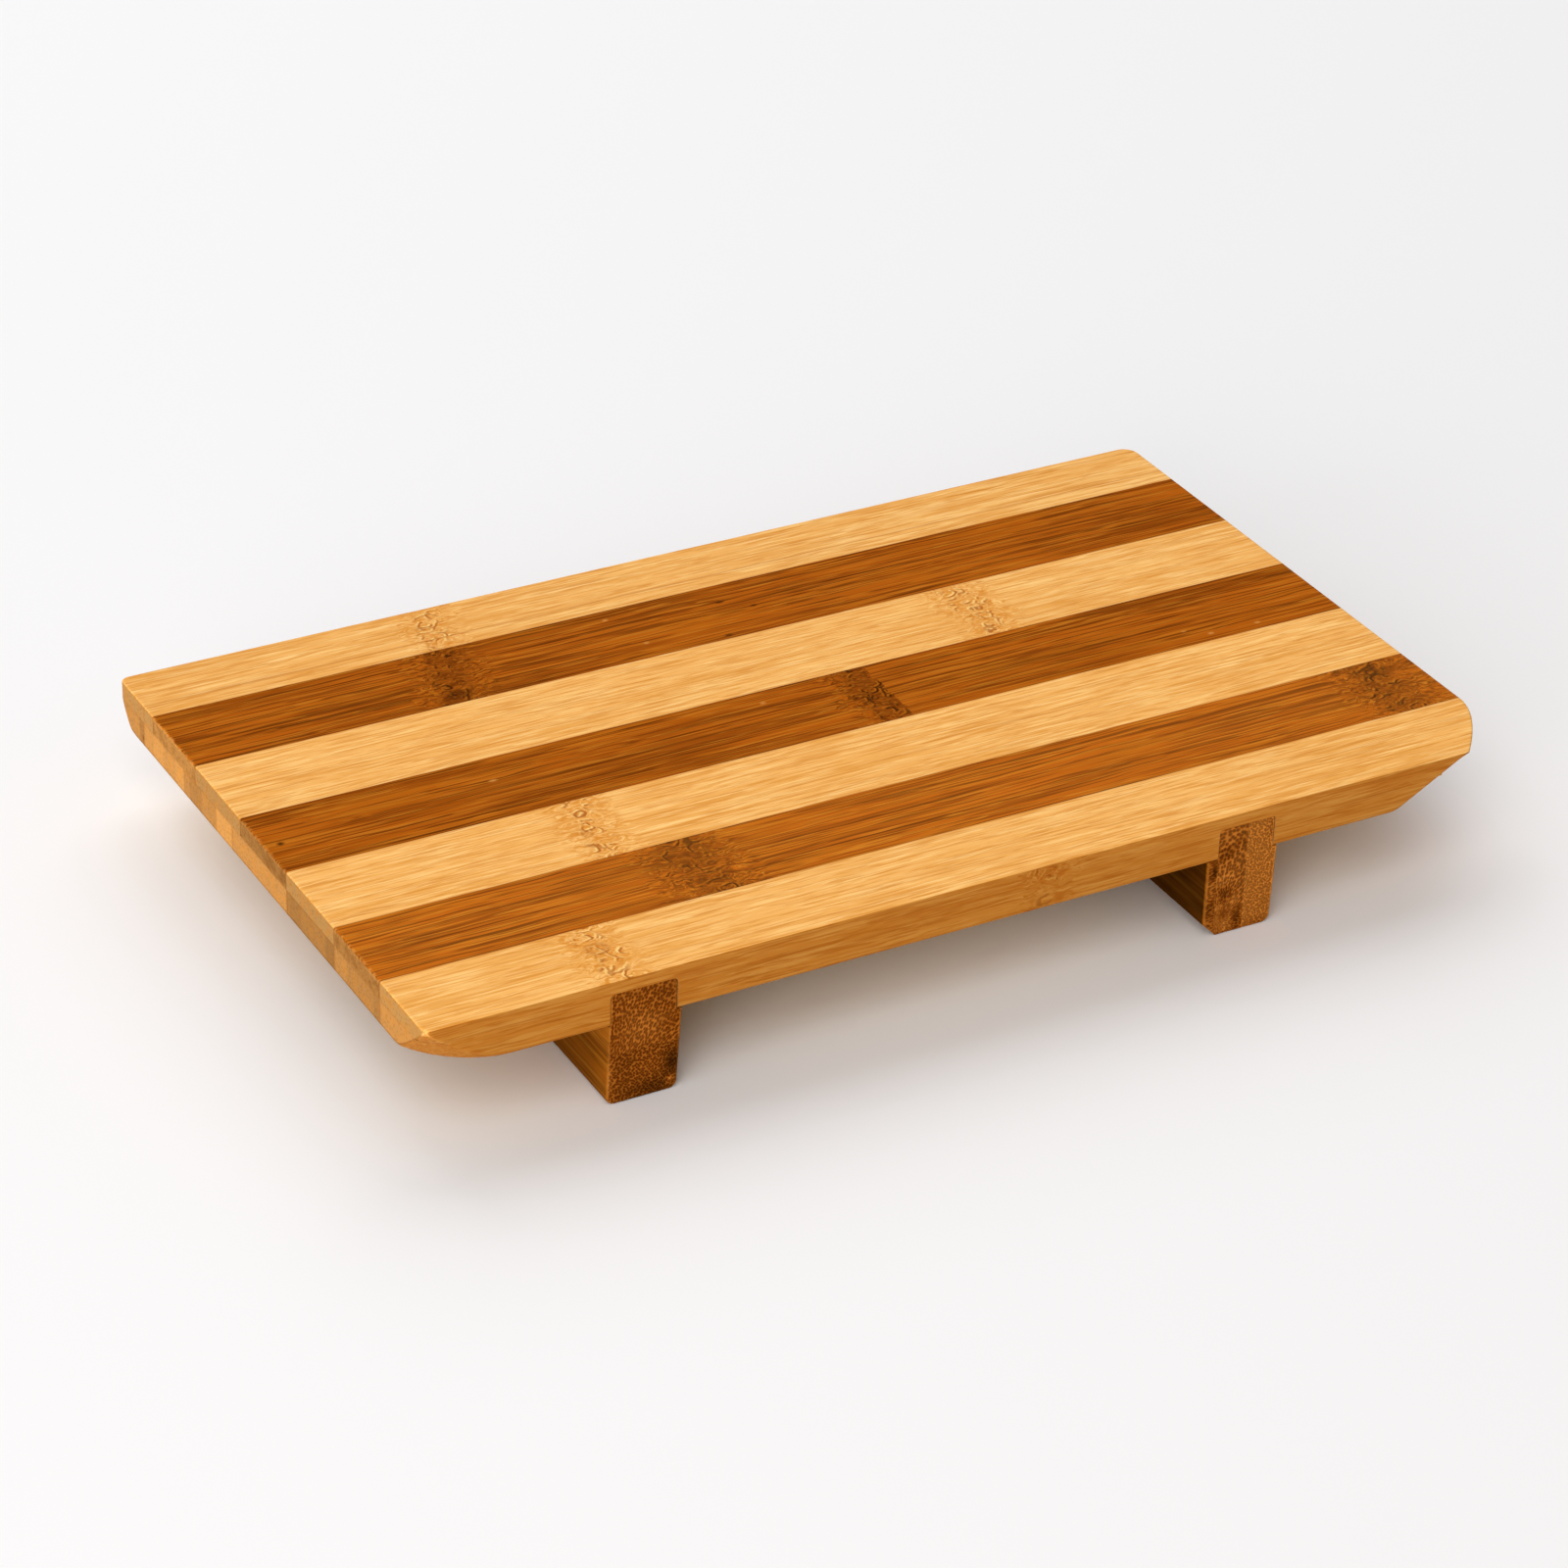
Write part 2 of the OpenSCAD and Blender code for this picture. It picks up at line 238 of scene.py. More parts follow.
def toneAndShadeMarks(points, look):
    # lighter and darker parts of a piece: strips along it, its cut ends and soft spots on its front end, and
    # painted shade on the feet's left flanks, along the soles' arrises and on the clipped corner's arris
    x, y, z = points.T
    ownTone, fade = look.get("tone", 0.0), toneFades["block"]
    value = np.full(len(points), ownTone)
    for low, high, tone in look.get("blocks", ()):
        inside = np.clip((y - low) / fade + 0.5, 0, 1) * np.clip((high - y) / fade + 0.5, 0, 1)
        value += inside * (tone - ownTone)
    atEnd = np.clip((np.abs(x) - rightX + toneFades["endReach"]) / toneFades["endFade"], 0, 1)
    value += look.get("endTone", 0.0) * atEnd
    # painted shade along the clipped corner's upper arris
    reach = toneFades["clipReach"]
    atClip = (x > rightX - board["clipFront"] - reach) & (y < frontY + board["clipEnd"] + reach)
    inArris = (z < topZ - toneFades["clipFrom"]) & (z > topZ - toneFades["clipTo"])
    value += toneFades["clipShade"] * (atClip & inArris & (edgeDistance(x, y) < toneFades["clipWidth"]))
    # painted shade on a foot's left flank, darker towards the back, and on the left foot also lower down
    if "flankShade" in look:
        limit, frontTone, backTone, rise = look["flankShade"]
        along = np.clip((y - frontY) / board["width"], 0, 1)
        shade = frontTone + (backTone - frontTone) * along ** 0.5 + rise * (z / underZ - 0.5)
        value += np.where((x < limit) & (y > frontY + 0.5), shade, 0)
    # soft spots of tone on a foot's front end; the long flat ones at height 0 are a painted shadow along the
    # sole's arris
    for spotX, spotZ, halfWidth, halfHeight, tone in look.get("spotsAndSoleShade", ()):
        away = ((x - spotX) / halfWidth) ** 2 + ((z - spotZ) / halfHeight) ** 2
        value += tone * np.exp(-away) * np.exp(-((y - frontY) / toneFades["spotDepth"]) ** 2)
    return value


# Points and edges closer than these are joined, in metres, and corners above these angles are sharp
joined = {"points": 2e-6, "edges": 1e-6}
sharp = {"block": math.radians(32), "carved": math.radians(40)}


def cleanMesh(mesh):
    # closes the thin ends of wedges and marks the real corners
    work = bmesh.new()
    work.from_mesh(mesh)
    bmesh.ops.remove_doubles(work, verts=work.verts, dist=joined["points"])
    bmesh.ops.dissolve_degenerate(work, edges=work.edges, dist=joined["edges"])
    work.to_mesh(mesh)
    work.free()
    mesh.polygons.foreach_set("use_smooth", np.ones(len(mesh.polygons), bool))
    mesh.set_sharp_from_angle(angle=sharp["block"])


def addNode(tree, kind, values=None, **settings):
    # one node with its settings; a value that is a node or a socket becomes a link. The kinds that shaders
    # and the surface rule share are written without their first word
    node = tree.nodes.new(kind if "Node" in kind else "ShaderNode" + kind)
    for key, value in settings.items():
        setattr(node, key, value)
    for key, value in (values or {}).items():
        if isinstance(value, bpy.types.Node):
            value = [socket for socket in value.outputs if socket.enabled][0]
        if isinstance(value, bpy.types.NodeSocket):
            tree.links.new(value, node.inputs[key])
        else:
            node.inputs[key].default_value = value
    return node


def linearColour(hexText):
    # an sRGB hex colour as linear values
    parts = [int(hexText[i:i + 2], 16) / 255 for i in (1, 3, 5)]
    return [c / 12.92 if c <= 0.04045 else ((c + 0.055) / 1.055) ** 2.4 for c in parts] + [1.0]


print("shapes ready")

# Bamboo is glued from strips of the culm's wall. Along the grain its vascular bundles show as fine
# darker strokes, across it as dots. Steamed under pressure it turns brown all through, which is
# called carbonised. The board is sanded fine and wiped with oil, so it has a dull satin look.
# A streak is its length and thickness in millimetres, the noise levels where it starts and is full,
# its share and its colour, from the broadest to the finest
naturalTop = {
    "name": "Natural bamboo, sanded and oiled", "grain": "X", "ground": "#F2B25E",
    "streaks": [
        (55, 6, 0.44, 0.68, 0.6, "#E49C42"), (24, 1.6, 0.5, 0.68, 0.5, "#FFD086"),
        (18, 0.8, 0.5, 0.64, 0.65, "#FFCE80"), (14, 0.62, 0.5, 0.64, 0.65, "#D6882C"),
        (50, 0.4, 0.53, 0.66, 0.55, "#C87A20"), (5, 0.5, 0.55, 0.7, 0.4, "#D68C34"),
    ],
    "knuckle": "#D48018", "knuckleShade": 0.2, "crevice": "#AC5A04", "crown": "#FFD480", "paintedHighlightShare": 0.8,
    "end": "#B98848", "dot": "#9C652C", "dotShare": 0.45, "sideShadeTint": "#C5AC80",
    "arrisShare": 0.0, "chip": 0.0, "pale": "#FFD288", "roughness": 0.5, "specular": 0.03,
}
carbonisedTop = {
    "name": "Carbonised bamboo, sanded and oiled", "grain": "X", "ground": "#B1590B",
    "streaks": [
        (80, 6, 0.46, 0.64, 0.7, "#8A4204"), (50, 3, 0.5, 0.66, 0.45, "#BC6A12"),
        (40, 0.6, 0.49, 0.62, 0.75, "#6E3202"), (30, 0.45, 0.52, 0.64, 0.65, "#C67A20"),
        (70, 0.8, 0.54, 0.63, 0.7, "#5A2802"),
    ],
    "knuckle": "#6A3002", "knuckleShade": 0.4, "crevice": "#3A1600", "crown": "#C87218", "paintedHighlightShare": 0.5,
    "end": "#AB773C", "dot": "#8A5220", "dotShare": 0.45, "sideShadeTint": "#E0C79A",
    "arrisShare": 0.0, "chip": 0.6, "pale": "#D08A40", "roughness": 0.48, "specular": 0.003,
}
naturalLower = {
    "name": "Natural bamboo core, sanded and oiled", "grain": "X", "ground": "#F2B25E",
    "streaks": naturalTop["streaks"],
    "knuckle": "#D68A30", "knuckleShade": 0.15, "crevice": "#965010", "crown": "#FFCE76", "paintedHighlightShare": 0.5,
    "end": "#C08644", "dot": "#9A6428", "dotShare": 0.45, "sideShadeTint": "#C5AC80",
    "arrisShare": 0.5, "chip": 0.3, "pale": "#A06A2C", "roughness": 0.52, "specular": 0.02,
    "bare": 0.85, "barePale": "#F9D8A2", "bareDeep": "#D9A964",
}
footBamboo = {
    "name": "Carbonised bamboo foot, end grain oiled", "grain": "Y", "ground": "#8C4E0A",
    "streaks": [
        (80, 4, 0.46, 0.68, 0.6, "#6A3606"), (60, 1.6, 0.5, 0.68, 0.6, "#A2661A"),
        (50, 0.8, 0.5, 0.66, 0.6, "#4E2A02"),
    ],
    "knuckle": "#703A08", "knuckleShade": 0.0, "crevice": "#3C1C02", "crown": "#C9781F", "paintedHighlightShare": 0.5,
    "end": "#8E490C", "dot": "#502405", "dotShare": 0.8, "between": "#BA7028", "sideShadeTint": "#FFFFFF",
    "arrisShare": 0.2, "chip": 0.15, "pale": "#C07A34", "roughness": 0.52, "specular": 0.008,
}

# How the fibres stray from straight: the length and width of a bend and its reach in millimetres, a little
# everywhere, and in curls where the halo mark is, round the knuckles
strays = [(22, 5, 1.3, None), (5, 3.2, 7.0, "halo")]

# Torn fibre ends at a knuckle, in millimetres, the same in the relief and in the colour. A painted highlight
# on one side of the curls is the same pattern, moved a little
flakes = {
    "size": (5.6, 4.6, 4.6), "tear": 0.28, "reach": 3.0, "arc": 0.32, "ring": 0.32, "highlightShift": (0.45, -0.4, 0.0),
}

# Each piece's pattern is shifted by its seed times this, in millimetres
plankShift = (137.0, 61.0, 53.0)

# What the tone mark does: the darkest and lightest factor at its two limits, and the tint of pale strips
tones = {"limit": 2.0, "dark": 0.13, "light": 1.87, "fadedShare": 0.09, "faded": "#CBA050"}
smooth = {"interpolation_type": "SMOOTHSTEP"}


def flakeCells(add, place):
    # a knuckle's flakes as cells, and the curled edges between them
    torn = add("TexNoise", {"Vector": place, "Scale": flakes["tear"], "Detail": 2.0})
    tornMm = add("VectorMath", {0: torn.outputs["Color"], "Scale": flakes["reach"]}, operation="SCALE")
    moved = add("VectorMath", {0: place, 1: tornMm}, operation="ADD")
    sized = add("VectorMath", {0: moved, 1: flakes["size"]}, operation="DIVIDE")
    cells = add("TexVoronoi", {"Vector": sized, "Scale": 1.0})
    borders = add("TexVoronoi", {"Vector": sized, "Scale": 1.0}, feature="DISTANCE_TO_EDGE")
    # curls are rings in the cells, broken into arcs
    off = add("Math", {0: cells.outputs["Distance"], 1: flakes["ring"]}, operation="SUBTRACT")
    off = add("Math", {0: off}, operation="ABSOLUTE")
    ring = add("MapRange", {0: off, 1: 0.085, 2: 0.02}, **smooth)
    edge = add("MapRange", {0: borders, 1: 0.085, 2: 0.02, 4: 0.8}, **smooth)
    curl = add("Math", {0: ring, 1: edge}, operation="MAXIMUM")
    arcs = add("TexNoise", {"Vector": place, "Scale": flakes["arc"], "Detail": 1.0})
    broken = add("MapRange", {0: arcs, 1: 0.44, 2: 0.54}, **smooth)
    return cells, add("Math", {0: curl, 1: broken}, operation="MULTIPLY")


def makeBamboo(look):
    # streaks, end grain, knuckles and small marks in layers, then the cut sides and the tone of the piece
    material = bpy.data.materials.new(look["name"])
    material.use_nodes = True
    tree = material.node_tree
    tree.nodes.clear()
    add = partial(addNode, tree)
    turned = look["grain"] == "Y"
    tints = {key: linearColour(value) for key, value in look.items() if str(value).startswith("#")}
    where = add("TexCoord")
    names = ("plank", "knuckle", "halo", "seam", "wear", "tone", "scar", "bundleU", "bundleV")
    marks = {n: add("Attribute", attribute_name=n).outputs["Fac"] for n in names}
    inMm = add("VectorMath", {0: where.outputs["Object"], "Scale": 1 / mm}, operation="SCALE")
    shift = add("VectorMath", {0: marks["plank"], 1: plankShift}, operation="MULTIPLY")
    place = add("VectorMath", {0: inMm, 1: shift}, operation="ADD")

    def alongGrain(long, cross):
        # scales along and across the grain, per millimetre
        return (cross, long, cross) if turned else (long, cross, cross)

    grain = place
    for long, cross, reach, mark in strays:
        at = add("VectorMath", {0: place, 1: alongGrain(1 / long, 1 / cross)}, operation="MULTIPLY")
        noise = add("TexNoise", {"Vector": at, "Scale": 1.0, "Detail": 1.5})
        centred = add("VectorMath", {0: noise.outputs["Color"], 1: (0.5, 0.5, 0.5)}, operation="SUBTRACT")
        if mark:
            reach = add("Math", {0: marks[mark], 1: reach}, operation="MULTIPLY")
        moved = add("VectorMath", {0: centred, "Scale": reach}, operation="SCALE")
        grain = add("VectorMath", {0: grain, 1: moved}, operation="ADD")

    layers = []
    for long, cross, low, high, share, tint in look["streaks"]:
        at = add("VectorMath", {0: grain, 1: alongGrain(1 / long, 1 / cross)}, operation="MULTIPLY")
        finest = add("TexNoise", {"Vector": at, "Scale": 1.0, "Detail": 2.5, "Roughness": 0.6})
        streaked = add("MapRange", {0: finest, 1: low, 2: high, 4: share}, **smooth)
        layers.append((streaked, linearColour(tint)))

    # Across the grain the bundles are dots of about half a millimetre, with a soft mottle over them
    normal = add("SeparateXYZ", {0: where.outputs["Normal"]})
    facings = []
    for axis in ("Y", "X") if turned else ("X", "Y"):
        size = add("Math", {0: normal.outputs[axis]}, operation="ABSOLUTE")
        facings.append(add("MapRange", {0: size, 1: 0.8, 2: 0.92}, **smooth))
    if turned:
        dotsAt = add("CombineXYZ", {0: marks["bundleU"], 1: marks["bundleV"]})
    else:
        dotsAt = add("VectorMath", {0: grain, 1: alongGrain(1 / 6, 1 / 0.85)}, operation="MULTIPLY")
    dots = add("TexVoronoi", {"Vector": dotsAt, "Scale": 1.0, "Randomness": 0.85},
               voronoi_dimensions="2D" if turned else "3D")
    toDot = dots.outputs["Distance"]
    endLayers = [(add("MapRange", {0: toDot, 1: 0.5, 2: 0.26, 4: look["dotShare"]}, **smooth), "dot")]
    if turned:
        # the softer wood between the bundles is paler
        endLayers.append((add("MapRange", {0: toDot, 1: 0.48, 2: 0.66, 4: 0.6}, **smooth), "between"))
    mottle = add("TexNoise", {"Vector": place, "Scale": 0.4, "Detail": 3.0})
    endLayers.append((add("MapRange", {0: mottle, 1: 0.4, 2: 0.68, 4: 0.35}, **smooth), "knuckle"))
    ends = tints["end"]
    for share, tint in endLayers:
        ends = add("Mix", {0: share, 6: ends, 7: tints[tint]}, data_type="RGBA")
    layers.append((facings[0], ends))

    # Knuckles: the scar where a leaf sheath grew, its fibres torn into flakes with brown borders, and a
    # painted highlight on one side of each curl
    highlightPlace = add("VectorMath", {0: place, 1: flakes["highlightShift"]}, operation="ADD")
    paintedHighlights = add("Math", {0: flakeCells(add, highlightPlace)[1], 1: look["paintedHighlightShare"]}, operation="MULTIPLY")
    borders = add("Math", {0: flakeCells(add, place)[1], 1: 0.9}, operation="MULTIPLY")
    patchesAt = add("VectorMath", {0: grain, 1: alongGrain(0.22, 1.3)}, operation="MULTIPLY")
    patches = add("TexNoise", {"Vector": patchesAt, "Scale": 1.0, "Detail": 2.0})
    patches = add("MapRange", {0: patches, 1: 0.46, 2: 0.62, 4: 0.75}, **smooth)
    for share, mark, tint in ((look["knuckleShade"], "knuckle", "knuckle"), (patches, "halo", "knuckle"),
                              (paintedHighlights, "knuckle", "crown"), (borders, "knuckle", "crevice")):
        layers.append((add("Math", {0: share, 1: marks[mark]}, operation="MULTIPLY"), tints[tint]))

    # Arrises take the pale tint in places: on the feet it is a painted highlight along the eased edges, on
    # the carbonised slats it is pale nicks, and at the lower ply's ends it is a darker line along the bottom
    # arris.
    # Nicks are pale and small scars dark; joints are thin dark lines
    chips = add("TexNoise", {"Vector": place, "Scale": 0.9, "Detail": 2.0})
    arrisShare = look["arrisShare"]
    chips = add("MapRange", {0: chips, 1: 0.45, 2: 0.6, 3: arrisShare, 4: arrisShare + look["chip"]}, **smooth)
    layers.append((add("Math", {0: chips, 1: marks["wear"]}, operation="MULTIPLY"), tints["pale"]))
    for mark, factor, tint in (("scar", -1.0, "pale"), ("scar", 0.9, "crevice"), ("seam", 0.5, "crevice")):
        share = add("Math", {0: marks[mark], 1: factor}, operation="MULTIPLY", use_clamp=True)
        layers.append((share, tints[tint]))
    colour = tints["ground"]
    for share, tint in layers:
        colour = add("Mix", {0: share, 6: colour, 7: tint}, data_type="RGBA")

    # Faces turned to the side, and the sloping cuts under the board's corners, are darkened by the side tint
    # as painted shade. The flat underside is left unoiled and is paler
    downward = add("Math", {0: normal.outputs["Z"], 1: -1.0}, operation="MULTIPLY")
    slope = add("MapRange", {0: downward, 1: 0.15, 2: 0.45}, **smooth)
    paintedShadeShare = add("Math", {0: facings[1], 1: slope}, operation="MAXIMUM")
    colour = add("Mix", {0: paintedShadeShare, 6: colour, 7: tints["sideShadeTint"]}, data_type="RGBA", blend_type="MULTIPLY")
    if "bare" in look:
        bareAt = add("VectorMath", {0: grain, 1: alongGrain(0.03, 1.1)}, operation="MULTIPLY")
        bareGrain = add("TexNoise", {"Vector": bareAt, "Scale": 1.0, "Detail": 3.5, "Roughness": 0.65})
        bareGrain = add("MapRange", {0: bareGrain, 1: 0.42, 2: 0.66})
        bareTint = add("Mix", {0: bareGrain, 6: tints["barePale"], 7: tints["bareDeep"]}, data_type="RGBA")
        bare = add("MapRange", {0: downward, 1: 0.9, 2: 0.98, 4: look["bare"]})
        colour = add("Mix", {0: bare, 6: colour, 7: bareTint}, data_type="RGBA")
    # The tone mark scales the colour: the pieces' own tones, and the painted shade on the feet's flanks, the
    # soles' arrises and the clipped corner's arris
    shade = add("MapRange", {0: marks["tone"], 1: -tones["limit"], 2: tones["limit"],
                             3: tones["dark"], 4: tones["light"]})
    colour = add("VectorMath", {0: colour, "Scale": shade}, operation="SCALE")
    # paler strips are a little less red
    faded = add("Math", {0: marks["tone"], 1: tones["fadedShare"]}, operation="MULTIPLY", use_clamp=True)
    colour = add("Mix", {0: faded, 6: colour, 7: linearColour(tones["faded"])}, data_type="RGBA")

    # The finest streaks are also a faint relief and vary the satin
    dull = look["roughness"]
    bump = add("Bump", {"Strength": 0.6, "Distance": 0.06 * mm, "Height": finest}, invert=True)
    rough = add("MapRange", {0: finest, 1: 0.3, 2: 0.7, 3: dull - 0.05, 4: dull + 0.1})
    surface = add("BsdfPrincipled", {"Base Color": colour, "Roughness": rough, "IOR": 1.47,
                                     "Specular IOR Level": look["specular"], "Normal": bump})
    add("OutputMaterial", {"Surface": surface})
    return material


bamboo = {
    "natural_bamboo": makeBamboo(naturalTop),
    "carbonised_bamboo": makeBamboo(carbonisedTop),
    "natural_bamboo_lower": makeBamboo(naturalLower),
    "foot_bamboo": makeBamboo(footBamboo),
}
print("materials ready")

# A place off the board, for a mark that a piece doesn't have
nowhere = 999.0

# The surface rule's inputs, in millimetres: fibres that sanding leaves proud, knuckles torn into flakes,
# and the open pores of the bundles in end grain
surfaceInputs = {
    "Fibre Length": 18.0, "Fibre Width": 0.9, "Fibre Depth": 0.03, "Grain Turn": 0.0,
    "Knuckle X": nowhere, "Knuckle Lean": 0.0, "Knuckle Width": 8.0, "Knuckle Strength": 1.0,
    "Knuckle Edge": nowhere, "Second Knuckle X": nowhere, "Second On Wall": 0.0,
    "Flake Depth": 0.3, "Pore Depth": 0.0, "Seed": 1.0,
}


def fibreTree():
    # sinks fibres, torn knuckles and pores into a piece's surface and gives the piece its material
    tree = bpy.data.node_groups.new("Bamboo surface", "GeometryNodeTree")
    add = partial(addNode, tree)
    for way in ("INPUT", "OUTPUT"):
        tree.interface.new_socket("Geometry", in_out=way, socket_type="NodeSocketGeometry")
    sockets = {}
    for name, value in surfaceInputs.items():
        item = tree.interface.new_socket(name, in_out="INPUT", socket_type="NodeSocketFloat")
        item.default_value = value
        sockets[name] = item.identifier
    item = tree.interface.new_socket("Material", in_out="INPUT", socket_type="NodeSocketMaterial")
    sockets["Material"] = item.identifier
    given = add("NodeGroupInput").outputs
    marks = {n: add("GeometryNodeInputNamedAttribute", {"Name": n}, data_type="FLOAT").outputs[0]
             for n in ("skin", "wall", "bundleU", "bundleV")}
    position = add("GeometryNodeInputPosition")
    inMm = add("VectorMath", {0: position, "Scale": 1 / mm}, operation="SCALE")
    parts = add("SeparateXYZ", {0: inMm})
    shift = add("VectorMath", {0: given["Seed"], 1: plankShift}, operation="MULTIPLY")
    place = add("VectorMath", {0: inMm, 1: shift}, operation="ADD")

    # Fibres run along X on slats and along Y on feet
    long, cross = given["Fibre Length"], given["Fibre Width"]
    alongX = add("CombineXYZ", {0: long, 1: cross, 2: cross})
    alongY = add("CombineXYZ", {0: cross, 1: long, 2: cross})
    fibreSize = add("Mix", {0: given["Grain Turn"], 4: alongX, 5: alongY}, data_type="VECTOR")
    fibreAt = add("VectorMath", {0: place, 1: fibreSize}, operation="DIVIDE")
    fibre = add("TexNoise", {"Vector": fibreAt, "Scale": 1.0, "Detail": 2.0})
    drop = add("Math", {0: fibre, 1: given["Fibre Depth"]}, operation="MULTIPLY")

    # The knuckle is a band across the slat whose line wanders and leans
    sway = add("TexNoise", {"Vector": place, "Scale": 0.13, "Detail": 2.5})
    swayMm = add("Math", {0: sway, 1: -8.0, 2: 4.0}, operation="MULTIPLY_ADD")
    line = add("Math", {0: parts.outputs["X"], 1: swayMm}, operation="ADD")
    lean = add("Math", {0: parts.outputs["Y"], 1: given["Knuckle Lean"]}, operation="MULTIPLY")
    line = add("Math", {0: line, 1: lean}, operation="SUBTRACT")
    onWall = add("Mix", {0: given["Second On Wall"], 2: 1.0, 3: marks["wall"]})
    offWall = add("Math", {0: given["Second On Wall"], 1: marks["wall"]}, operation="MULTIPLY")
    offWall = add("Math", {0: 1.0, 1: offWall}, operation="SUBTRACT")
    bands = {}
    for key, inner, outer in (("knuckle", 0.3, 0.55), ("halo", 0.4, 1.25)):
        shares = []
        for name, limit in (("Knuckle X", offWall), ("Second Knuckle X", onWall)):
            off = add("Math", {0: line, 1: given[name]}, operation="SUBTRACT")
            away = add("Math", {0: off}, operation="ABSOLUTE")
            share = add("Math", {0: away, 1: given["Knuckle Width"]}, operation="DIVIDE")
            band = add("MapRange", {0: share, 1: outer, 2: inner}, **smooth)
            before = add("Math", {0: off, 1: given["Knuckle Edge"]}, operation="LESS_THAN")
            band = add("Math", {0: band, 1: before}, operation="MULTIPLY")
            shares.append(add("Math", {0: band, 1: limit}, operation="MULTIPLY"))
        both = add("Math", {0: shares[0], 1: shares[1]}, operation="MAXIMUM")
        bands[key] = add("Math", {0: both, 1: given["Knuckle Strength"]}, operation="MULTIPLY")

    # Flakes stand at uneven heights, lowest at their borders
    cells, curls = flakeCells(add, place)
    chance = add("SeparateXYZ", {0: cells.outputs["Color"]})
    step = add("Math", {0: chance.outputs["X"], 1: -0.4, 2: 0.4}, operation="MULTIPLY_ADD")
    torn = add("Math", {0: curls, 1: 0.6, 2: step}, operation="MULTIPLY_ADD")
    tornMm = add("Math", {0: torn, 1: given["Flake Depth"]}, operation="MULTIPLY")
    drop = add("Math", {0: tornMm, 1: bands["knuckle"], 2: drop}, operation="MULTIPLY_ADD")

    # Pores in end grain, one to a bundle
    poresAt = add("CombineXYZ", {0: marks["bundleU"], 1: marks["bundleV"]})
    pores = add("TexVoronoi", {"Vector": poresAt, "Scale": 1.0, "Randomness": 0.85},
                voronoi_dimensions="2D")
    pore = add("MapRange", {0: pores.outputs["Distance"], 1: 0.5, 2: 0.15})
    drop = add("Math", {0: pore, 1: given["Pore Depth"], 2: drop}, operation="MULTIPLY_ADD")

    held = add("Math", {0: drop, 1: marks["skin"]}, operation="MULTIPLY")
    inward = add("Math", {0: held, 1: -mm}, operation="MULTIPLY")
    offset = add("VectorMath", {0: add("GeometryNodeInputNormal"), "Scale": inward}, operation="SCALE")
    body = given["Geometry"]
    for name, value in (("plank", given["Seed"]), ("knuckle", bands["knuckle"]), ("halo", bands["halo"])):
        body = add("GeometryNodeStoreNamedAttribute", {"Geometry": body, "Name": name, "Value": value},
                   data_type="FLOAT", domain="POINT")
    moved = add("GeometryNodeSetPosition", {"Geometry": body, "Offset": offset})
    whole = add("GeometryNodeRealizeInstances", {"Geometry": moved})
    painted = add("GeometryNodeSetMaterial", {"Geometry": whole, "Material": given["Material"]})
    add("NodeGroupOutput", {"Geometry": painted})
    return tree, sockets


surfaceTree, surfaceSockets = fibreTree()
print("surface rule ready")


def finishPiece(name, mesh, slotName, inputs):
    # runs the surface rule on a piece, turns the result into a plain mesh and hands it to the frame
    cleanMesh(mesh)
    piece = bpy.data.objects.new(name, mesh)
    bpy.context.scene.collection.objects.link(piece)
    rule = piece.modifiers.new("surface", "NODES")
    rule.node_group = surfaceTree
    for key, value in inputs.items():
        rule[surfaceSockets[key]] = float(value)
    rule[surfaceSockets["Material"]] = bamboo[slotName]
    bpy.context.view_layer.update()
    evaluated = piece.evaluated_get(bpy.context.evaluated_depsgraph_get())
    plain = bpy.data.meshes.new_from_object(evaluated)
    piece.modifiers.remove(rule)
    piece.data = plain
    plain.set_sharp_from_angle(angle=sharp["carved"])
    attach(piece, "root")
    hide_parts(name)


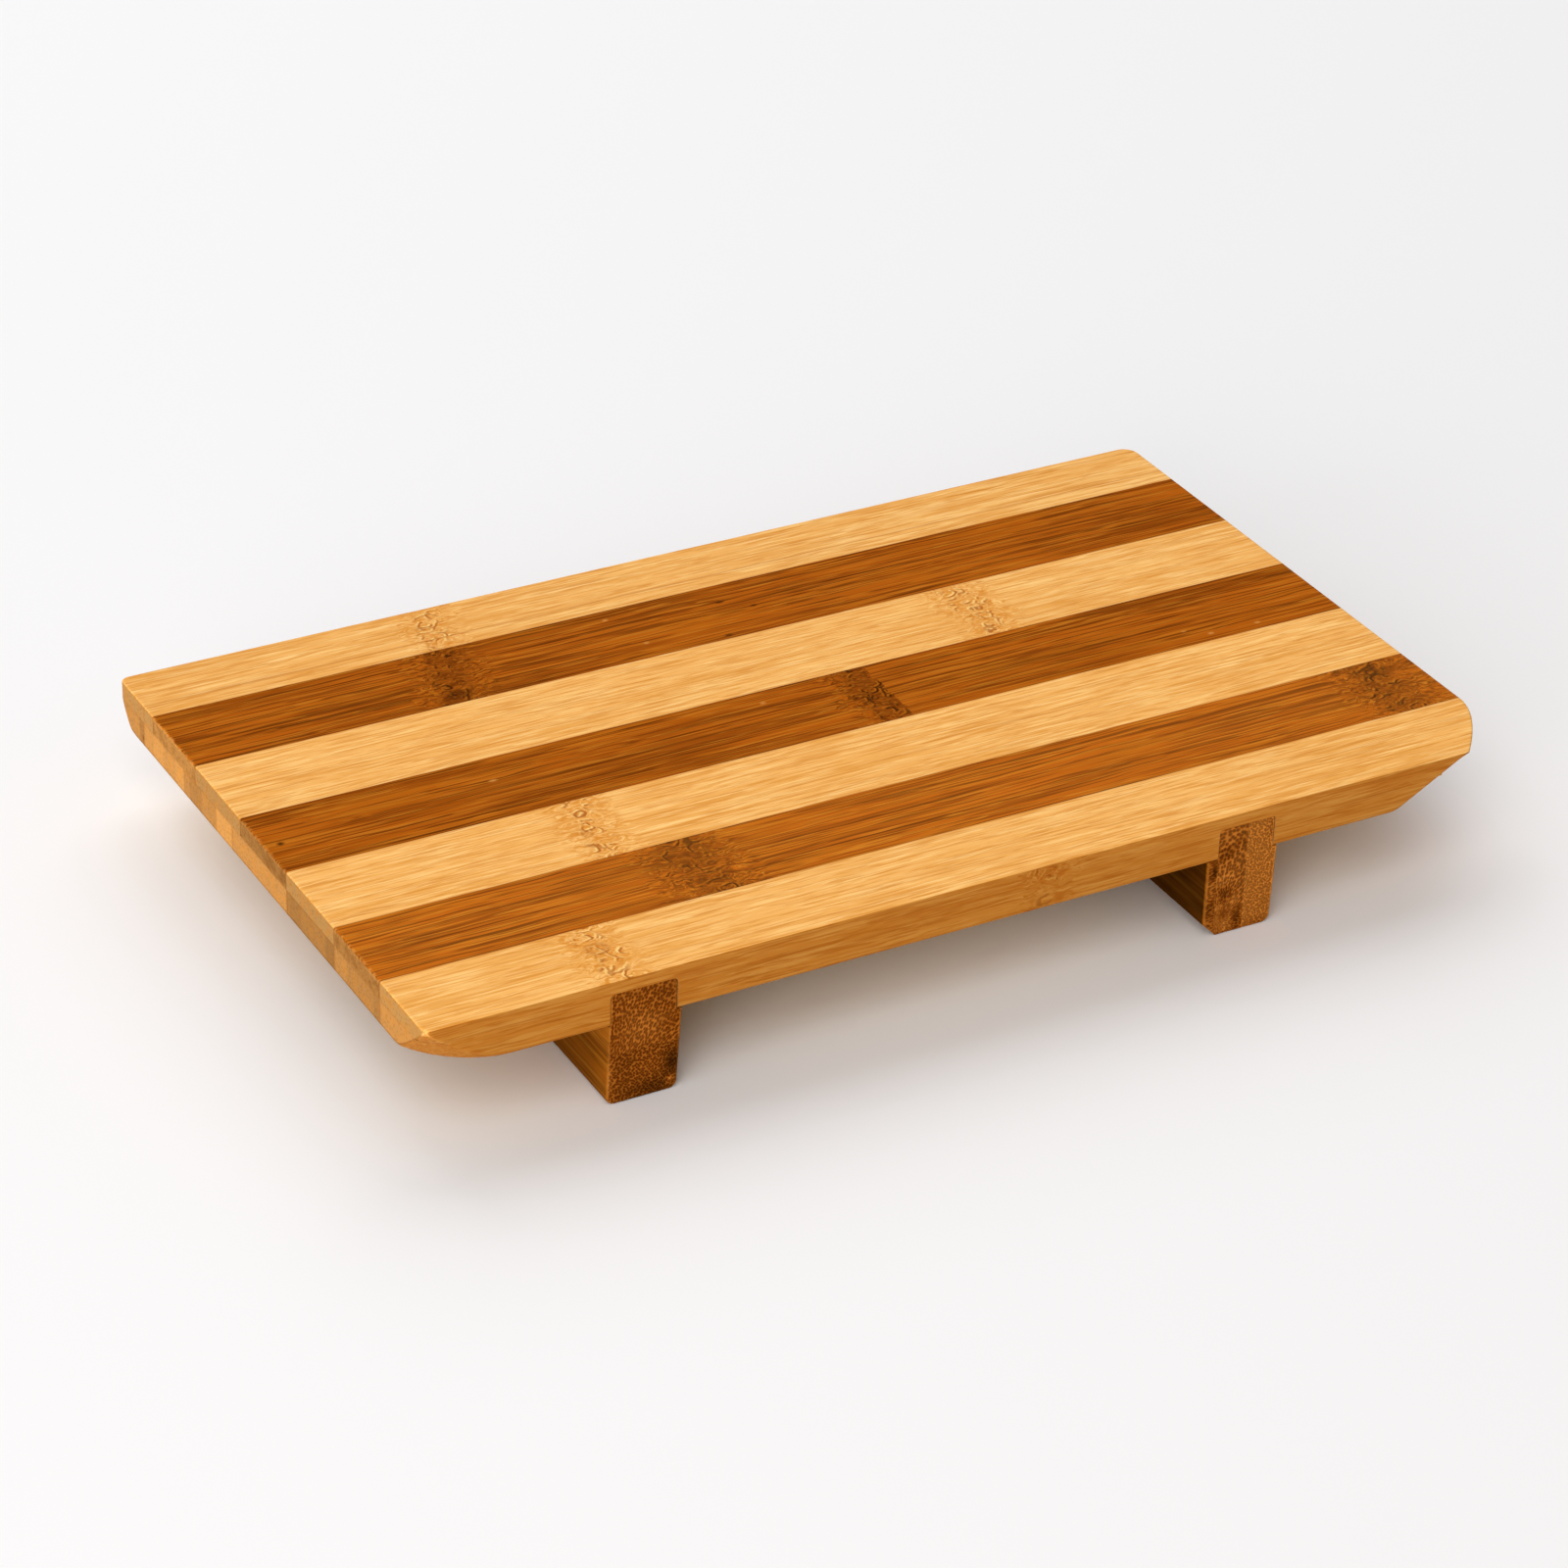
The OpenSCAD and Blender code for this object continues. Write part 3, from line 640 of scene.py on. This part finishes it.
# Each upper slat, in millimetres: its knuckles with their lean and depth, its tone, and its small marks,
# which are x, y, z, radius, stretch along the grain, how hollow, and how dark (nicks are negative)
upperSlats = {
    "upper_slat_1a_natural": {"knuckle": -61.0, "width": 8.0, "lean": 0.12, "depth": 0.09, "seed": 1.7},
    "upper_slat_1b_natural": {"knuckle": -63.5, "width": 8.0, "lean": 0.12, "depth": 0.09, "seed": 2.3},
    "upper_slat_2_carbonised": {
        "endTone": 0.5, "knuckle": -67.5, "width": 10.0, "lean": 0.2, "depth": 0.15, "seed": 3.1,
        "scars": [
            (-69.4, 41.0, topZ, 1.5, 1.3, 0.5, 0.8), (4.4, 54.1, topZ, 0.5, 2.0, 0, 0.9),
            (10.9, 49.3, topZ, 0.5, 1.6, 0, 0.8), (-1.1, 39.0, topZ, 0.5, 2.0, 0, 0.8),
            (-23.7, 57.9, topZ, 0.4, 1.6, 0, -0.9), (-20.0, 44.0, topZ, 0.4, 1.6, 0, -0.8)]},
    "upper_slat_3_natural": {
        "tone": 0.06, "endTone": -0.2, "knuckle": 56.5, "width": 8.0, "lean": 0.0, "depth": 0.12,
        "seed": 4.9},
    "upper_slat_4_carbonised": {
        "endTone": -0.25, "knuckle": 16.0, "edge": 3.0, "width": 9.5, "lean": 0.0, "depth": 0.2, "seed": 5.3,
        "scars": [
            (-131.3, -1.2, topZ, 0.6, 1.3, 0, 1.0), (-78.9, 2.9, topZ, 0.4, 2.4, 0, -0.9),
            (-9.2, 7.3, topZ, 0.4, 1.6, 0, -0.8), (100.3, -9.5, topZ, 0.4, 1.8, 0, -0.9),
            (113.0, -9.8, topZ, 0.4, 1.8, 0, -0.9), (95.0, -6.0, topZ, 0.3, 2.0, 0, -0.7)]},
    "upper_slat_5_natural": {
        "tone": 0.1, "endTone": -0.3, "knuckle": -68.5, "width": 8.0, "lean": 0.1, "depth": 0.09,
        "seed": 6.1,
        "scars": [
            (-69.1, -18.1, topZ, 0.6, 1.2, 0.4, 0.7), (-70.5, -26.8, topZ, 0.9, 1.2, 0.8, 0.5)]},
    "upper_slat_6_carbonised": {
        "tone": 0.46, "endTone": -0.5, "knuckle": -55.5, "second": 122.5, "width": 12.0, "lean": 0.0,
        "depth": 0.16, "seed": 7.7,
        "scars": [
            (123.3, -41.6, topZ, 1.1, 1.1, 0.9, 0.9), (121.6, -43.0, topZ, 0.8, 1.1, 0.9, 0.8),
            (124.6, -39.4, topZ, 0.7, 1.2, 0.9, 0.8)]},
    "upper_slat_7_natural": {
        "tone": 0.1, "endTone": -0.1, "knuckle": -89.0, "second": 12.5, "width": 7.5, "lean": 0.0,
        "depth": 0.1, "seed": 8.3,
        "scars": [
            (-89.4, -69.0, topZ, 1.8, 1.15, 0.9, 0.45), (-89.4, -69.0, topZ, 0.45, 1.0, 0, 0.6)]},
}

# Each lower slat's tone, and the blocks of another tone that its left end shows: from y, to y and tone
lowerSlats = {
    "lower_slat_1": {"tone": 0.0, "seed": 1.7, "blocks": [(76, 82, -0.1), (66.9, 70, -0.5)],
                     "scars": [(leftX, 67.8, 21.9, 0.7, 1.0, 0, 1.0)]},
    "lower_slat_2": {"tone": 0.25, "seed": 2.9, "blocks": [(56, 62, 0.5), (44, 49, 0.5)]},
    "lower_slat_3": {"tone": -0.1, "seed": 3.6, "blocks": [(34, 41, -0.4), (17, 25.5, 0.6)]},
    "lower_slat_4": {"tone": 0.15, "seed": 4.2, "blocks": [(-8, -2, 0.1)]},
    "lower_slat_5": {"tone": -0.6, "seed": 5.8, "blocks": [(-20, -14, -0.75), (-37.3, -33, -0.9)]},
    "lower_slat_6": {"tone": -0.4, "seed": 6.7, "blocks": [(-44, -38, -0.2), (-60.4, -57.5, -0.6)]},
    "lower_slat_7": {"tone": 0.05, "seed": 8.3},
}

# Each ply's heights, and how closely its mesh lines stand along the slats, across them and up their walls
plies = {
    "upper": {"top": topZ, "floor": plyZ, "along": 0.9, "across": 0.36, "levels": 11},
    "lower": {"top": plyZ, "floor": underZ, "along": 1.1, "across": 0.7, "levels": 14},
}

# The upper slats are whole, and the lower ones' lengths end at the housing walls or at the board's outline
lengths = {
    "whole": (leftX, rightX), "left": (leftX, housings[0]["low"]),
    "middle": (housings[0]["high"], housings[1]["low"]), "right": (housings[1]["high"], rightX),
}

# The slats' marks, in millimetres: the strip without relief beside a joint, the dark joint line, the
# thinnest wood with relief, the marked arris, and where it is marked on the lower ply. The line between the
# plies is a share of their thickness, and it stops short of the corners. The last four are strengths
slatMarks = {
    "noRelief": 0.5, "joint": 0.4, "thin": 0.3, "onPly": 0.02, "arris": 0.8,
    "arrisFrom": 3.0, "arrisFade": 1.5, "arrisRise": 0.4, "plyLine": 0.09, "corner": 0.5,
    "wallRelief": 0.7, "wallJoint": 0.7, "plyJoint": 0.6, "wallArris": 8,
}


def slatBlock(name, look):
    # a slat's closed block with the board's outer shape on the sides that lie on its edge
    upper = name.startswith("upper")
    ply = plies["upper" if upper else "lower"]
    start, end = lengths["whole" if upper else name.rsplit("_", 1)[1]]
    low, high = (np.array(corner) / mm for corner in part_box(name))
    atLeft, atRight = start == leftX, end == rightX
    atFront, atBack = low[1] < frontY + spacing["atEdge"], high[1] > backY - spacing["atEdge"]
    reach, fine = spacing["knuckle"]
    zones = [(look[key] - reach, look[key] + reach, fine) for key in ("knuckle", "second") if key in look]
    reach, fine = spacing["scar"]
    zones += [(scar[0] - reach, scar[0] + reach, fine) for scar in look.get("scars", ())]
    if upper:
        out, into, fine = spacing["housing"]
        for h in housings:
            zones += [(h["low"] - out, h["low"] + into, fine), (h["high"] - into, h["high"] + out, fine)]
    master = clusteredLines(start, end, ply["along"], atLeft, atRight, zones)
    if upper:
        # a pair of lines at each housing wall, so that it stands upright
        pair = (-spacing["wallPair"], spacing["wallPair"])
        walls = np.array([h[side] + d for h in housings for side in ("low", "high") for d in pair])
        master = master[np.min(np.abs(master[:, None] - walls[None]), 1) > spacing["wallGap"]]
        master = np.sort(np.concatenate([master, walls]))
    reach, fine = spacing["front"]
    rowZones = [(frontY, frontY + reach, fine)]
    reach, fine = spacing["back"]
    rowZones += [(backY - reach, backY, fine)]
    yLines = clusteredLines(low[1], high[1], ply["across"], atFront, atBack, rowZones)

    # in the end bands the cross lines follow the outline and the line where the sloping cuts meet the ply
    band = spacing["endBand"]
    left = outlineLeft(yLines) if atLeft else np.full(len(yLines), start)
    right = outlineRight(yLines) if atRight else np.full(len(yLines), end)
    leftCross = slopeCrossing(yLines, leftX + search["slopeLeft"], leftX)
    rightCross = slopeCrossing(yLines, rightX - search["slopeRight"], rightX)
    if upper:
        leftKey, rightKey = np.maximum(leftCross, left + band), np.minimum(rightCross, right - band)
    else:
        left, right = np.maximum(left, leftCross), np.minimum(right, rightCross)
        leftKey, rightKey = left + band, right - band
    held = [start + spacing["straightLeft"], end - spacing["straightRight"]]
    anchors = [start, start + band, *held, end - band, end]
    x = np.array([np.interp(master, anchors, [a, b, *held, c, d])
                  for a, b, c, d in zip(left, leftKey, rightKey, right)])
    y = np.repeat(yLines[:, None], len(master), 1)

    edge = edgeDistance(x, y)
    raw = undersideHeight(x, y)
    thinEase = board["easeShare"] * (topZ - raw)
    topZs = np.full(x.shape, ply["top"])
    lowZs = raw + easeDrop(edge, np.minimum(board["underEase"], thinEase))
    if upper:
        topZs -= easeDrop(edge, np.minimum(board["topEase"], thinEase))
        lowZs = np.maximum(lowZs, ply["floor"])
        for h in housings:
            inHousing = (x > h["low"]) & (x < h["high"])
            roof = h["top"] - easeDrop(np.minimum(x - h["low"], h["high"] - x), h["round"])
            lowZs = np.where(inHousing, np.maximum(lowZs, roof), lowZs)
    lowZs = np.minimum(lowZs, topZs)
    first, last = np.stack([x, y, topZs], -1), np.stack([x, y, lowZs], -1)
    loop = borderLoop(*x.shape)
    shares = np.linspace(0, 1, ply["levels"])[1:-1]
    topLoop, lowLoop = first.reshape(-1, 3)[loop], last.reshape(-1, 3)[loop]
    loops = [topLoop * (1 - s) + lowLoop * s for s in shares]

    # marks for the surface rule and the material
    toJoint = np.minimum(nowhere if atFront else y - yLines[0], nowhere if atBack else yLines[-1] - y)
    seam = np.clip(1 - toJoint / slatMarks["joint"], 0, 1)
    outer = np.zeros(x.shape)
    outer[0], outer[-1] = 1, 1
    outer[:, 0], outer[:, -1] = atLeft, atRight
    outer[0] *= atFront
    outer[-1] *= atBack
    wall = outer.ravel()[loop]
    skin = np.clip(toJoint / slatMarks["noRelief"], 0, 1) * (lowZs < topZs - slatMarks["thin"])
    arrisShare = np.clip(1 - edge / slatMarks["arris"], 0, 1)
    topSkin, lowSkin, lowArrisShare = skin, skin * (raw > ply["floor"] + slatMarks["onPly"]), arrisShare
    if not upper:
        topSkin, lowSkin = skin * 0, skin
        arrisShare = arrisShare * np.clip((np.abs(x) - rightX + slatMarks["arrisFrom"]) / slatMarks["arrisFade"], 0, 1)
        lowArrisShare = arrisShare * (raw < ply["floor"] + slatMarks["arrisRise"])
    atEnd = (np.abs(y.ravel()[loop]) < backY - slatMarks["corner"]) * wall
    toPly = 1 - shares if upper else shares
    plyLines = [np.clip(1 - s / slatMarks["plyLine"], 0, 1) * atEnd * slatMarks["plyJoint"] for s in toPly]
    wallSeam = seam.ravel()[loop] * slatMarks["wallJoint"] * wall
    marks = {
        "skin": (topSkin, [wall * slatMarks["wallRelief"]] * len(loops), lowSkin),
        "wall": (outer, [wall] * len(loops), outer),
        "seam": (seam * upper, [np.maximum(wallSeam, line) for line in plyLines], seam),
        "wear": (arrisShare, [np.clip(1 - s * slatMarks["wallArris"], 0, 1) * wall * upper for s in shares], lowArrisShare),
    }
    return latticeMesh(name, first, loops, last, marks, look)


for name, look in upperSlats.items():
    slotName = "carbonised_bamboo" if "carbonised" in name else "natural_bamboo"
    middleY = sum(corner[1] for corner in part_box(name)) / 2 / mm
    finishPiece(name, slatBlock(name, look), slotName, {
        "Knuckle X": look["knuckle"] - look["lean"] * middleY,
        "Second Knuckle X": look.get("second", nowhere) - look["lean"] * middleY,
        "Knuckle Edge": look.get("edge", nowhere), "Knuckle Width": look["width"],
        "Knuckle Lean": look["lean"], "Flake Depth": look["depth"],
        "Seed": look["seed"], "Second On Wall": "7" in name})
print("upper slats done")

# One lower slat shows a faint knuckle on the front edge, in millimetres
lowerKnuckle = {"slat": "lower_slat_7_middle", "x": 12.5, "width": 7.0, "strength": 0.5, "depth": 0.1}
for family, look in lowerSlats.items():
    for place in ("left", "middle", "right"):
        name = family + "_" + place
        finishPiece(name, slatBlock(name, look), "natural_bamboo_lower", {
            "Knuckle X": lowerKnuckle["x"] if name == lowerKnuckle["slat"] else nowhere,
            "Knuckle Width": lowerKnuckle["width"], "Knuckle Strength": lowerKnuckle["strength"],
            "Flake Depth": lowerKnuckle["depth"], "Seed": look["seed"]})
print("lower slats done")

# Feet, in millimetres: the profile of each, and how its mesh lines stand up it and along it
feet = {
    "left": {"low": -92.7, "high": -77.0, "leftOver": 0.3, "rightOver": 1.1, "lean": 0.8,
             "round": 1.9, "tenonRound": 1.2},
    "right": {"low": 56.5, "high": 71.0, "leftOver": 2.5, "rightOver": 1.1, "lean": 0.35,
              "round": 1.9, "tenonRound": 0.7, "flat": 3.4},
    "taper": 0.3, "height": 19.5, "tenonTop": 27.2, "endEase": 0.45, "soleFade": 6,
}
footLines = {
    "across": 0.2, "up": (2.2, 26, 0.2), "shoulder": 0.003,
    "soleTurn": 10, "tenonTurn": 8, "turnFrom": 0.08,
    "ends": (0, 0.02, 0.07, 0.15, 0.25, 0.36, 0.5, 0.8, 1.3, 2.0), "from": 4, "between": 64,
}

# The feet's marks: the glue line and how far in the end faces' arrises carry the painted highlight, in
# millimetres, and the strengths of the glue line and of the relief
footMarks = {"jointLine": 0.3, "endArris": 0.6, "endJoint": 0.5, "wallJoint": 0.6, "wallRelief": 0.5}

# The height of the left foot's glue line, and the places of the right foot's two
layerJoint, innerJoint, outerJoint = 12.0, 56.5, 64.0
tenonTop, shoulder = feet["tenonTop"], feet["height"]

# A foot's pieces by their heights and glued sides. Each piece's bundles fan out from a centre in the culm,
# its left flank has painted shade that deepens towards the back (up to x, at the front, at the back, with
# the height), and soft spots (x, z, half width, half height, tone) lighten or darken its end: most follow
# the grain, and the long flat ones at height 0 are a painted shadow along the sole's arris
footPieces = {
    "left_foot_upper_layer": {
        "which": "left", "z": (layerJoint, tenonTop), "x": (None, None), "seed": 3.3, "tone": 0.1,
        "flankShade": (-92.6, 0.1, -1.3, 1.1), "fan": (-94.0, -2.0), "bundle": (0.56, 0.9),
        "spotsAndSoleShade": [(-85.0, 17.5, 4.5, 3.5, 0.5), (-92.5, 20.0, 2.0, 8.0, -0.2), (-80.0, 24.0, 4.0, 3.0, -0.4),
                  (-78.0, 16.0, 3.0, 3.0, -0.2)]},
    "left_foot_sole_layer": {
        "which": "left", "z": (0.0, layerJoint), "x": (None, None), "seed": 5.9, "tone": -0.3,
        "flankShade": (-92.6, 0.1, -1.3, 1.1), "fan": (-70.0, -14.0), "bundle": (0.52, 0.68),
        "spotsAndSoleShade": [(-78.0, 7.0, 2.2, 3.4, -1.5), (-82.0, 2.0, 4.5, 2.2, -1.1), (-84.0, 7.5, 2.5, 2.5, 0.35),
                  (-92.8, 6.0, 0.9, 6.0, 0.9), (-78.6, 2.6, 0.8, 0.9, 2.2), (-89.0, 9.5, 2.0, 1.5, -0.3),
                  (-88.0, 2.0, 4.0, 1.6, -0.4), (-86.0, 0.0, 7.0, 0.5, -1.4)]},
    "right_foot_inner_strip": {
        "which": "right", "z": (0.85, shoulder), "x": (None, innerJoint), "seed": 7.1, "tone": 0.0,
        "flankShade": (56.4, -1.65, -1.95, 0.0), "fan": (60.0, -60.0), "bundle": (1.3, 0.55),
        "spotsAndSoleShade": [(56.0, 16.5, 0.9, 1.6, -1.6), (55.6, 13.4, 1.2, 0.9, 0.9), (55.8, 10.8, 1.5, 0.8, 0.7),
                  (55.6, 7.3, 1.4, 1.4, -1.0), (55.5, 4.5, 1.5, 0.8, 0.5)]},
    "right_foot_middle_strip": {
        "which": "right", "z": (0.0, tenonTop), "x": (innerJoint, outerJoint), "seed": 8.6, "tone": 0.55,
        "flankShade": (61.0, -1.5, -1.8, 0.0), "fan": (57.0, 4.0), "bundle": (0.62, 0.95),
        "spotsAndSoleShade": [(58.6, 20.8, 1.8, 1.6, -1.3), (62.0, 22.5, 1.6, 1.4, -0.5), (58.5, 14.8, 2.4, 0.5, 1.2),
                  (58.5, 13.2, 2.2, 0.4, 1.1), (59.0, 10.3, 1.6, 1.8, -1.5), (61.8, 8.0, 1.2, 1.2, 0.8),
                  (57.5, 7.2, 1.0, 0.7, 0.9), (59.0, 5.0, 1.0, 1.6, -0.8), (62.6, 3.6, 1.1, 2.8, -1.7),
                  (59.4, 2.4, 1.0, 1.4, 1.0), (57.3, 3.8, 0.7, 0.7, 0.7), (60.0, 0.0, 6.0, 0.5, -1.6)]},
    "right_foot_outer_strip": {
        "which": "right", "z": (0.0, tenonTop), "x": (outerJoint, None), "seed": 2.2, "tone": 1.35,
        "fan": (67.0, -120.0), "bundle": (0.5, 0.58),
        "spotsAndSoleShade": [(64.15, 12.0, 0.25, 16.0, 0.8), (68.0, 0.0, 5.0, 0.5, -1.8), (70.5, 24.5, 1.5, 3.0, -0.6),
                  (70.0, 6.0, 2.0, 5.0, -0.2), (68.0, 1.0, 3.5, 0.9, -0.8)]},
}
# A column of larger bundles stands along the upright joint between the middle and outer strips
footPieces["right_foot_middle_strip"]["scars"] = [
    (63.2 + 0.25 * math.sin(5 * i), frontY, 10.2 + 1.35 * i, 0.38 + 0.1 * math.sin(3 * i), 1.0, 0, 0.6)
    for i in range(12)]


def footSides(foot, z):
    # a foot's left and right sides at each height, with the tenon above the shoulders
    share = np.clip(z / feet["height"], 0, 1)
    sole = easeDrop(z, foot["round"])
    left = foot["low"] - foot["leftOver"] - (foot["lean"] - feet["taper"]) * (1 - share)
    right = foot["high"] + foot["rightOver"] - (foot["lean"] + feet["taper"]) * (1 - share) - sole
    left = left + (np.clip(foot["flat"] - z, 0, None) if "flat" in foot else sole)
    corner = easeDrop(feet["tenonTop"] - z, foot["tenonRound"])
    isTenon = z > feet["height"]
    return np.where(isTenon, foot["low"] + corner, left), np.where(isTenon, foot["high"] - corner, right)


def footBlock(name, look):
    # a foot piece's closed block, drawn as cross sections from its front end to its back end
    foot = feet[look["which"]]
    lowZ, highZ = look["z"]
    sole, tenon = (1 - np.cos(np.linspace(footLines["turnFrom"], math.pi / 2, footLines[key]))
                   for key in ("soleTurn", "tenonTurn"))
    near, even = footLines["shoulder"], np.arange(*footLines["up"])
    corners = [lowZ, highZ, foot.get("flat", 0), shoulder - near, shoulder + near]
    heights = np.concatenate([corners, foot["round"] * sole, tenonTop - foot["tenonRound"] * tenon, even])
    zs = np.array(sorted({round(float(z), 4) for z in heights if lowZ <= z <= highZ}))
    leftSide, rightSide = footSides(foot, zs)
    glueLeft, glueRight = (x is not None for x in look["x"])
    if glueLeft:
        leftSide = np.maximum(leftSide, look["x"][0])
    if glueRight:
        rightSide = np.minimum(rightSide, look["x"][1])
    leftSide = np.minimum(leftSide, rightSide)
    width = (rightSide - leftSide).max()
    shares = clusteredLines(0, width, footLines["across"], not glueLeft, not glueRight) / width
    between = np.linspace(frontY + footLines["from"], backY - footLines["from"], footLines["between"])
    ends = footLines["ends"]
    ys = [*(frontY + d for d in ends), *between, *(backY - d for d in ends[::-1])]
    stands = lowZ < layerJoint
    toSole = (1 - (zs - zs[0]) / (zs[-1] - zs[0])) ** feet["soleFade"] if stands else zs * 0

    def section(y):
        # the cross section at y, drawn in a little beside the two end faces
        inset = float(easeDrop(np.array(min(y - frontY, backY - y)), feet["endEase"]))
        right = rightSide - (0 if glueRight else inset)
        left = np.minimum(leftSide + (0 if glueLeft else inset), right)
        x = left[:, None] + (right - left)[:, None] * shares[None]
        z = np.repeat((zs + inset * toSole)[:, None], x.shape[1], 1)
        return np.stack([x, np.full(x.shape, y), z], -1)

    first, last = section(ys[0]), section(ys[-1])
    rows, columns = first.shape[:2]
    loop = borderLoop(rows, columns)
    loops = [section(y).reshape(-1, 3)[loop] for y in ys[1:-1]]
    # the arrises that take the pale tint: a painted highlight along the foot's eased edges, with a few nicks
    outer, arrisMarked = np.zeros((rows, columns)), np.zeros((rows, columns))
    outer[:, 0], outer[:, -1] = not glueLeft, not glueRight
    arrisMarked[:, :2], arrisMarked[:, -2:] = not glueLeft, not glueRight
    if stands:
        outer[0], arrisMarked[:2] = 1, 1
    wall, arrisLoop = outer.ravel()[loop], arrisMarked.ravel()[loop]
    up, over = (np.clip(np.minimum(np.arange(n), n - 1 - np.arange(n)), 0, 2) / 2 for n in (rows, columns))
    skin = np.outer(up, over)
    # bundles lie along rays from the fan's centre
    away, ahead = first[..., 0] - look["fan"][0], first[..., 2] - look["fan"][1]
    reach = np.hypot(away, ahead)
    bundleU = np.arctan2(ahead, away) * reach.mean() / look["bundle"][0]
    bundleV = reach / look["bundle"][1]
    joint = np.clip(1 - np.abs(first[..., 2] - layerJoint) / footMarks["jointLine"], 0, 1)
    joint = joint * (look["which"] == "left")
    endJoint, wallJoint = joint * footMarks["endJoint"], joint.ravel()[loop] * footMarks["wallJoint"]
    arrisShares = [max(0, 1 - min(y - frontY, backY - y) / footMarks["endArris"]) for y in ys[1:-1]]
    marks = {
        "skin": (skin, [wall * footMarks["wallRelief"]] * len(loops), skin),
        "wall": (skin * 0, [wall] * len(loops), skin * 0),
        "seam": (endJoint, [wallJoint] * len(loops), endJoint),
        "wear": (arrisMarked, [arrisLoop * wear for wear in arrisShares], arrisMarked),
        "bundleU": (bundleU, [bundleU.ravel()[loop]] * len(loops), bundleU),
        "bundleV": (bundleV, [bundleV.ravel()[loop]] * len(loops), bundleV),
    }
    return latticeMesh(name, first, loops, last, marks, look)


for name, look in footPieces.items():
    finishPiece(name, footBlock(name, look), "foot_bamboo", {
        "Grain Turn": 1, "Fibre Width": 0.8, "Pore Depth": 0.09, "Seed": look["seed"]})
print("feet done")

# Plain pale floor
floorLook = {"size": 6.0, "colour": "#F4F2F1", "roughness": 0.9}
floorMesh = bpy.data.meshes.new("floor")
half = floorLook["size"] / 2
corners = [(-half, -half, 0), (half, -half, 0), (half, half, 0), (-half, half, 0)]
floorMesh.from_pydata(corners, [], [(0, 1, 2, 3)])
floor = bpy.data.objects.new("floor", floorMesh)
bpy.context.scene.collection.objects.link(floor)
paper = bpy.data.materials.new("Pale matt floor")
paper.use_nodes = True
paperInputs = paper.node_tree.nodes["Principled BSDF"].inputs
paperInputs["Base Color"].default_value = linearColour(floorLook["colour"])
paperInputs["Roughness"].default_value = floorLook["roughness"]
floorMesh.materials.append(paper)

# Soft studio light: an even surround, a wide panel high at the back, and panels at the left and in front.
# Places and sizes are in metres, powers in watts
surroundStrength = 0.3
panels = {
    "back panel": {"at": (0.9, 2.1, 2.2), "size": 3.2, "power": 53.0, "colour": "#F8FBFF"},
    "left back panel": {"at": (-0.96, 1.44, 1.6), "size": 2.24, "power": 12.0, "colour": "#F8FBFF"},
    "left front panel": {"at": (-1.12, -1.28, 1.92), "size": 1.92, "power": 20.5, "colour": "#FFFCF8"},
    "low panel": {"at": (-2.1, -0.45, 0.45), "size": 1.05, "power": 12.0, "colour": "#EEF4FF"},
    "low front panel": {"at": (-1.6, -1.6, 0.5), "size": 1.4, "power": 21.5, "colour": "#FFFBF8"},
}
world = bpy.data.worlds.new("soft surround")
bpy.context.scene.world = world
world.use_nodes = True
worldInputs = world.node_tree.nodes["Background"].inputs
worldInputs["Color"].default_value = (1, 1, 1, 1)
worldInputs["Strength"].default_value = surroundStrength
for name, panel in panels.items():
    light = bpy.data.lights.new(name, "AREA")
    light.shape, light.size, light.energy = "DISK", panel["size"], panel["power"]
    light.color = linearColour(panel["colour"])[:3]
    lamp = bpy.data.objects.new(name, light)
    lamp.location = panel["at"]
    lamp.rotation_euler = (-Vector(panel["at"])).to_track_quat("-Z", "Y").to_euler()
    bpy.context.scene.collection.objects.link(lamp)

# The camera, in millimetres, solved from the board's straight edges
view = {
    "at": (-481.5, -845.3, 580.5), "forward": (0.42216, 0.75247, -0.50555), "up": (0.2235, 0.4541, 0.8625),
    "focal": 113.598, "sensor": 36.0,
}
lens = bpy.data.cameras.new("camera")
lens.lens, lens.sensor_width = view["focal"], view["sensor"]
camera = bpy.data.objects.new("camera", lens)
forward = Vector(view["forward"]).normalized()
sideways = forward.cross(Vector(view["up"])).normalized()
upward = sideways.cross(forward)
turn = Matrix((sideways, upward, -forward)).transposed().to_4x4()
camera.matrix_world = Matrix.Translation(Vector(view["at"]) * mm) @ turn
bpy.context.scene.collection.objects.link(camera)
bpy.context.scene.camera = camera
bpy.context.scene.view_settings.view_transform = "Standard"
print("stage ready")
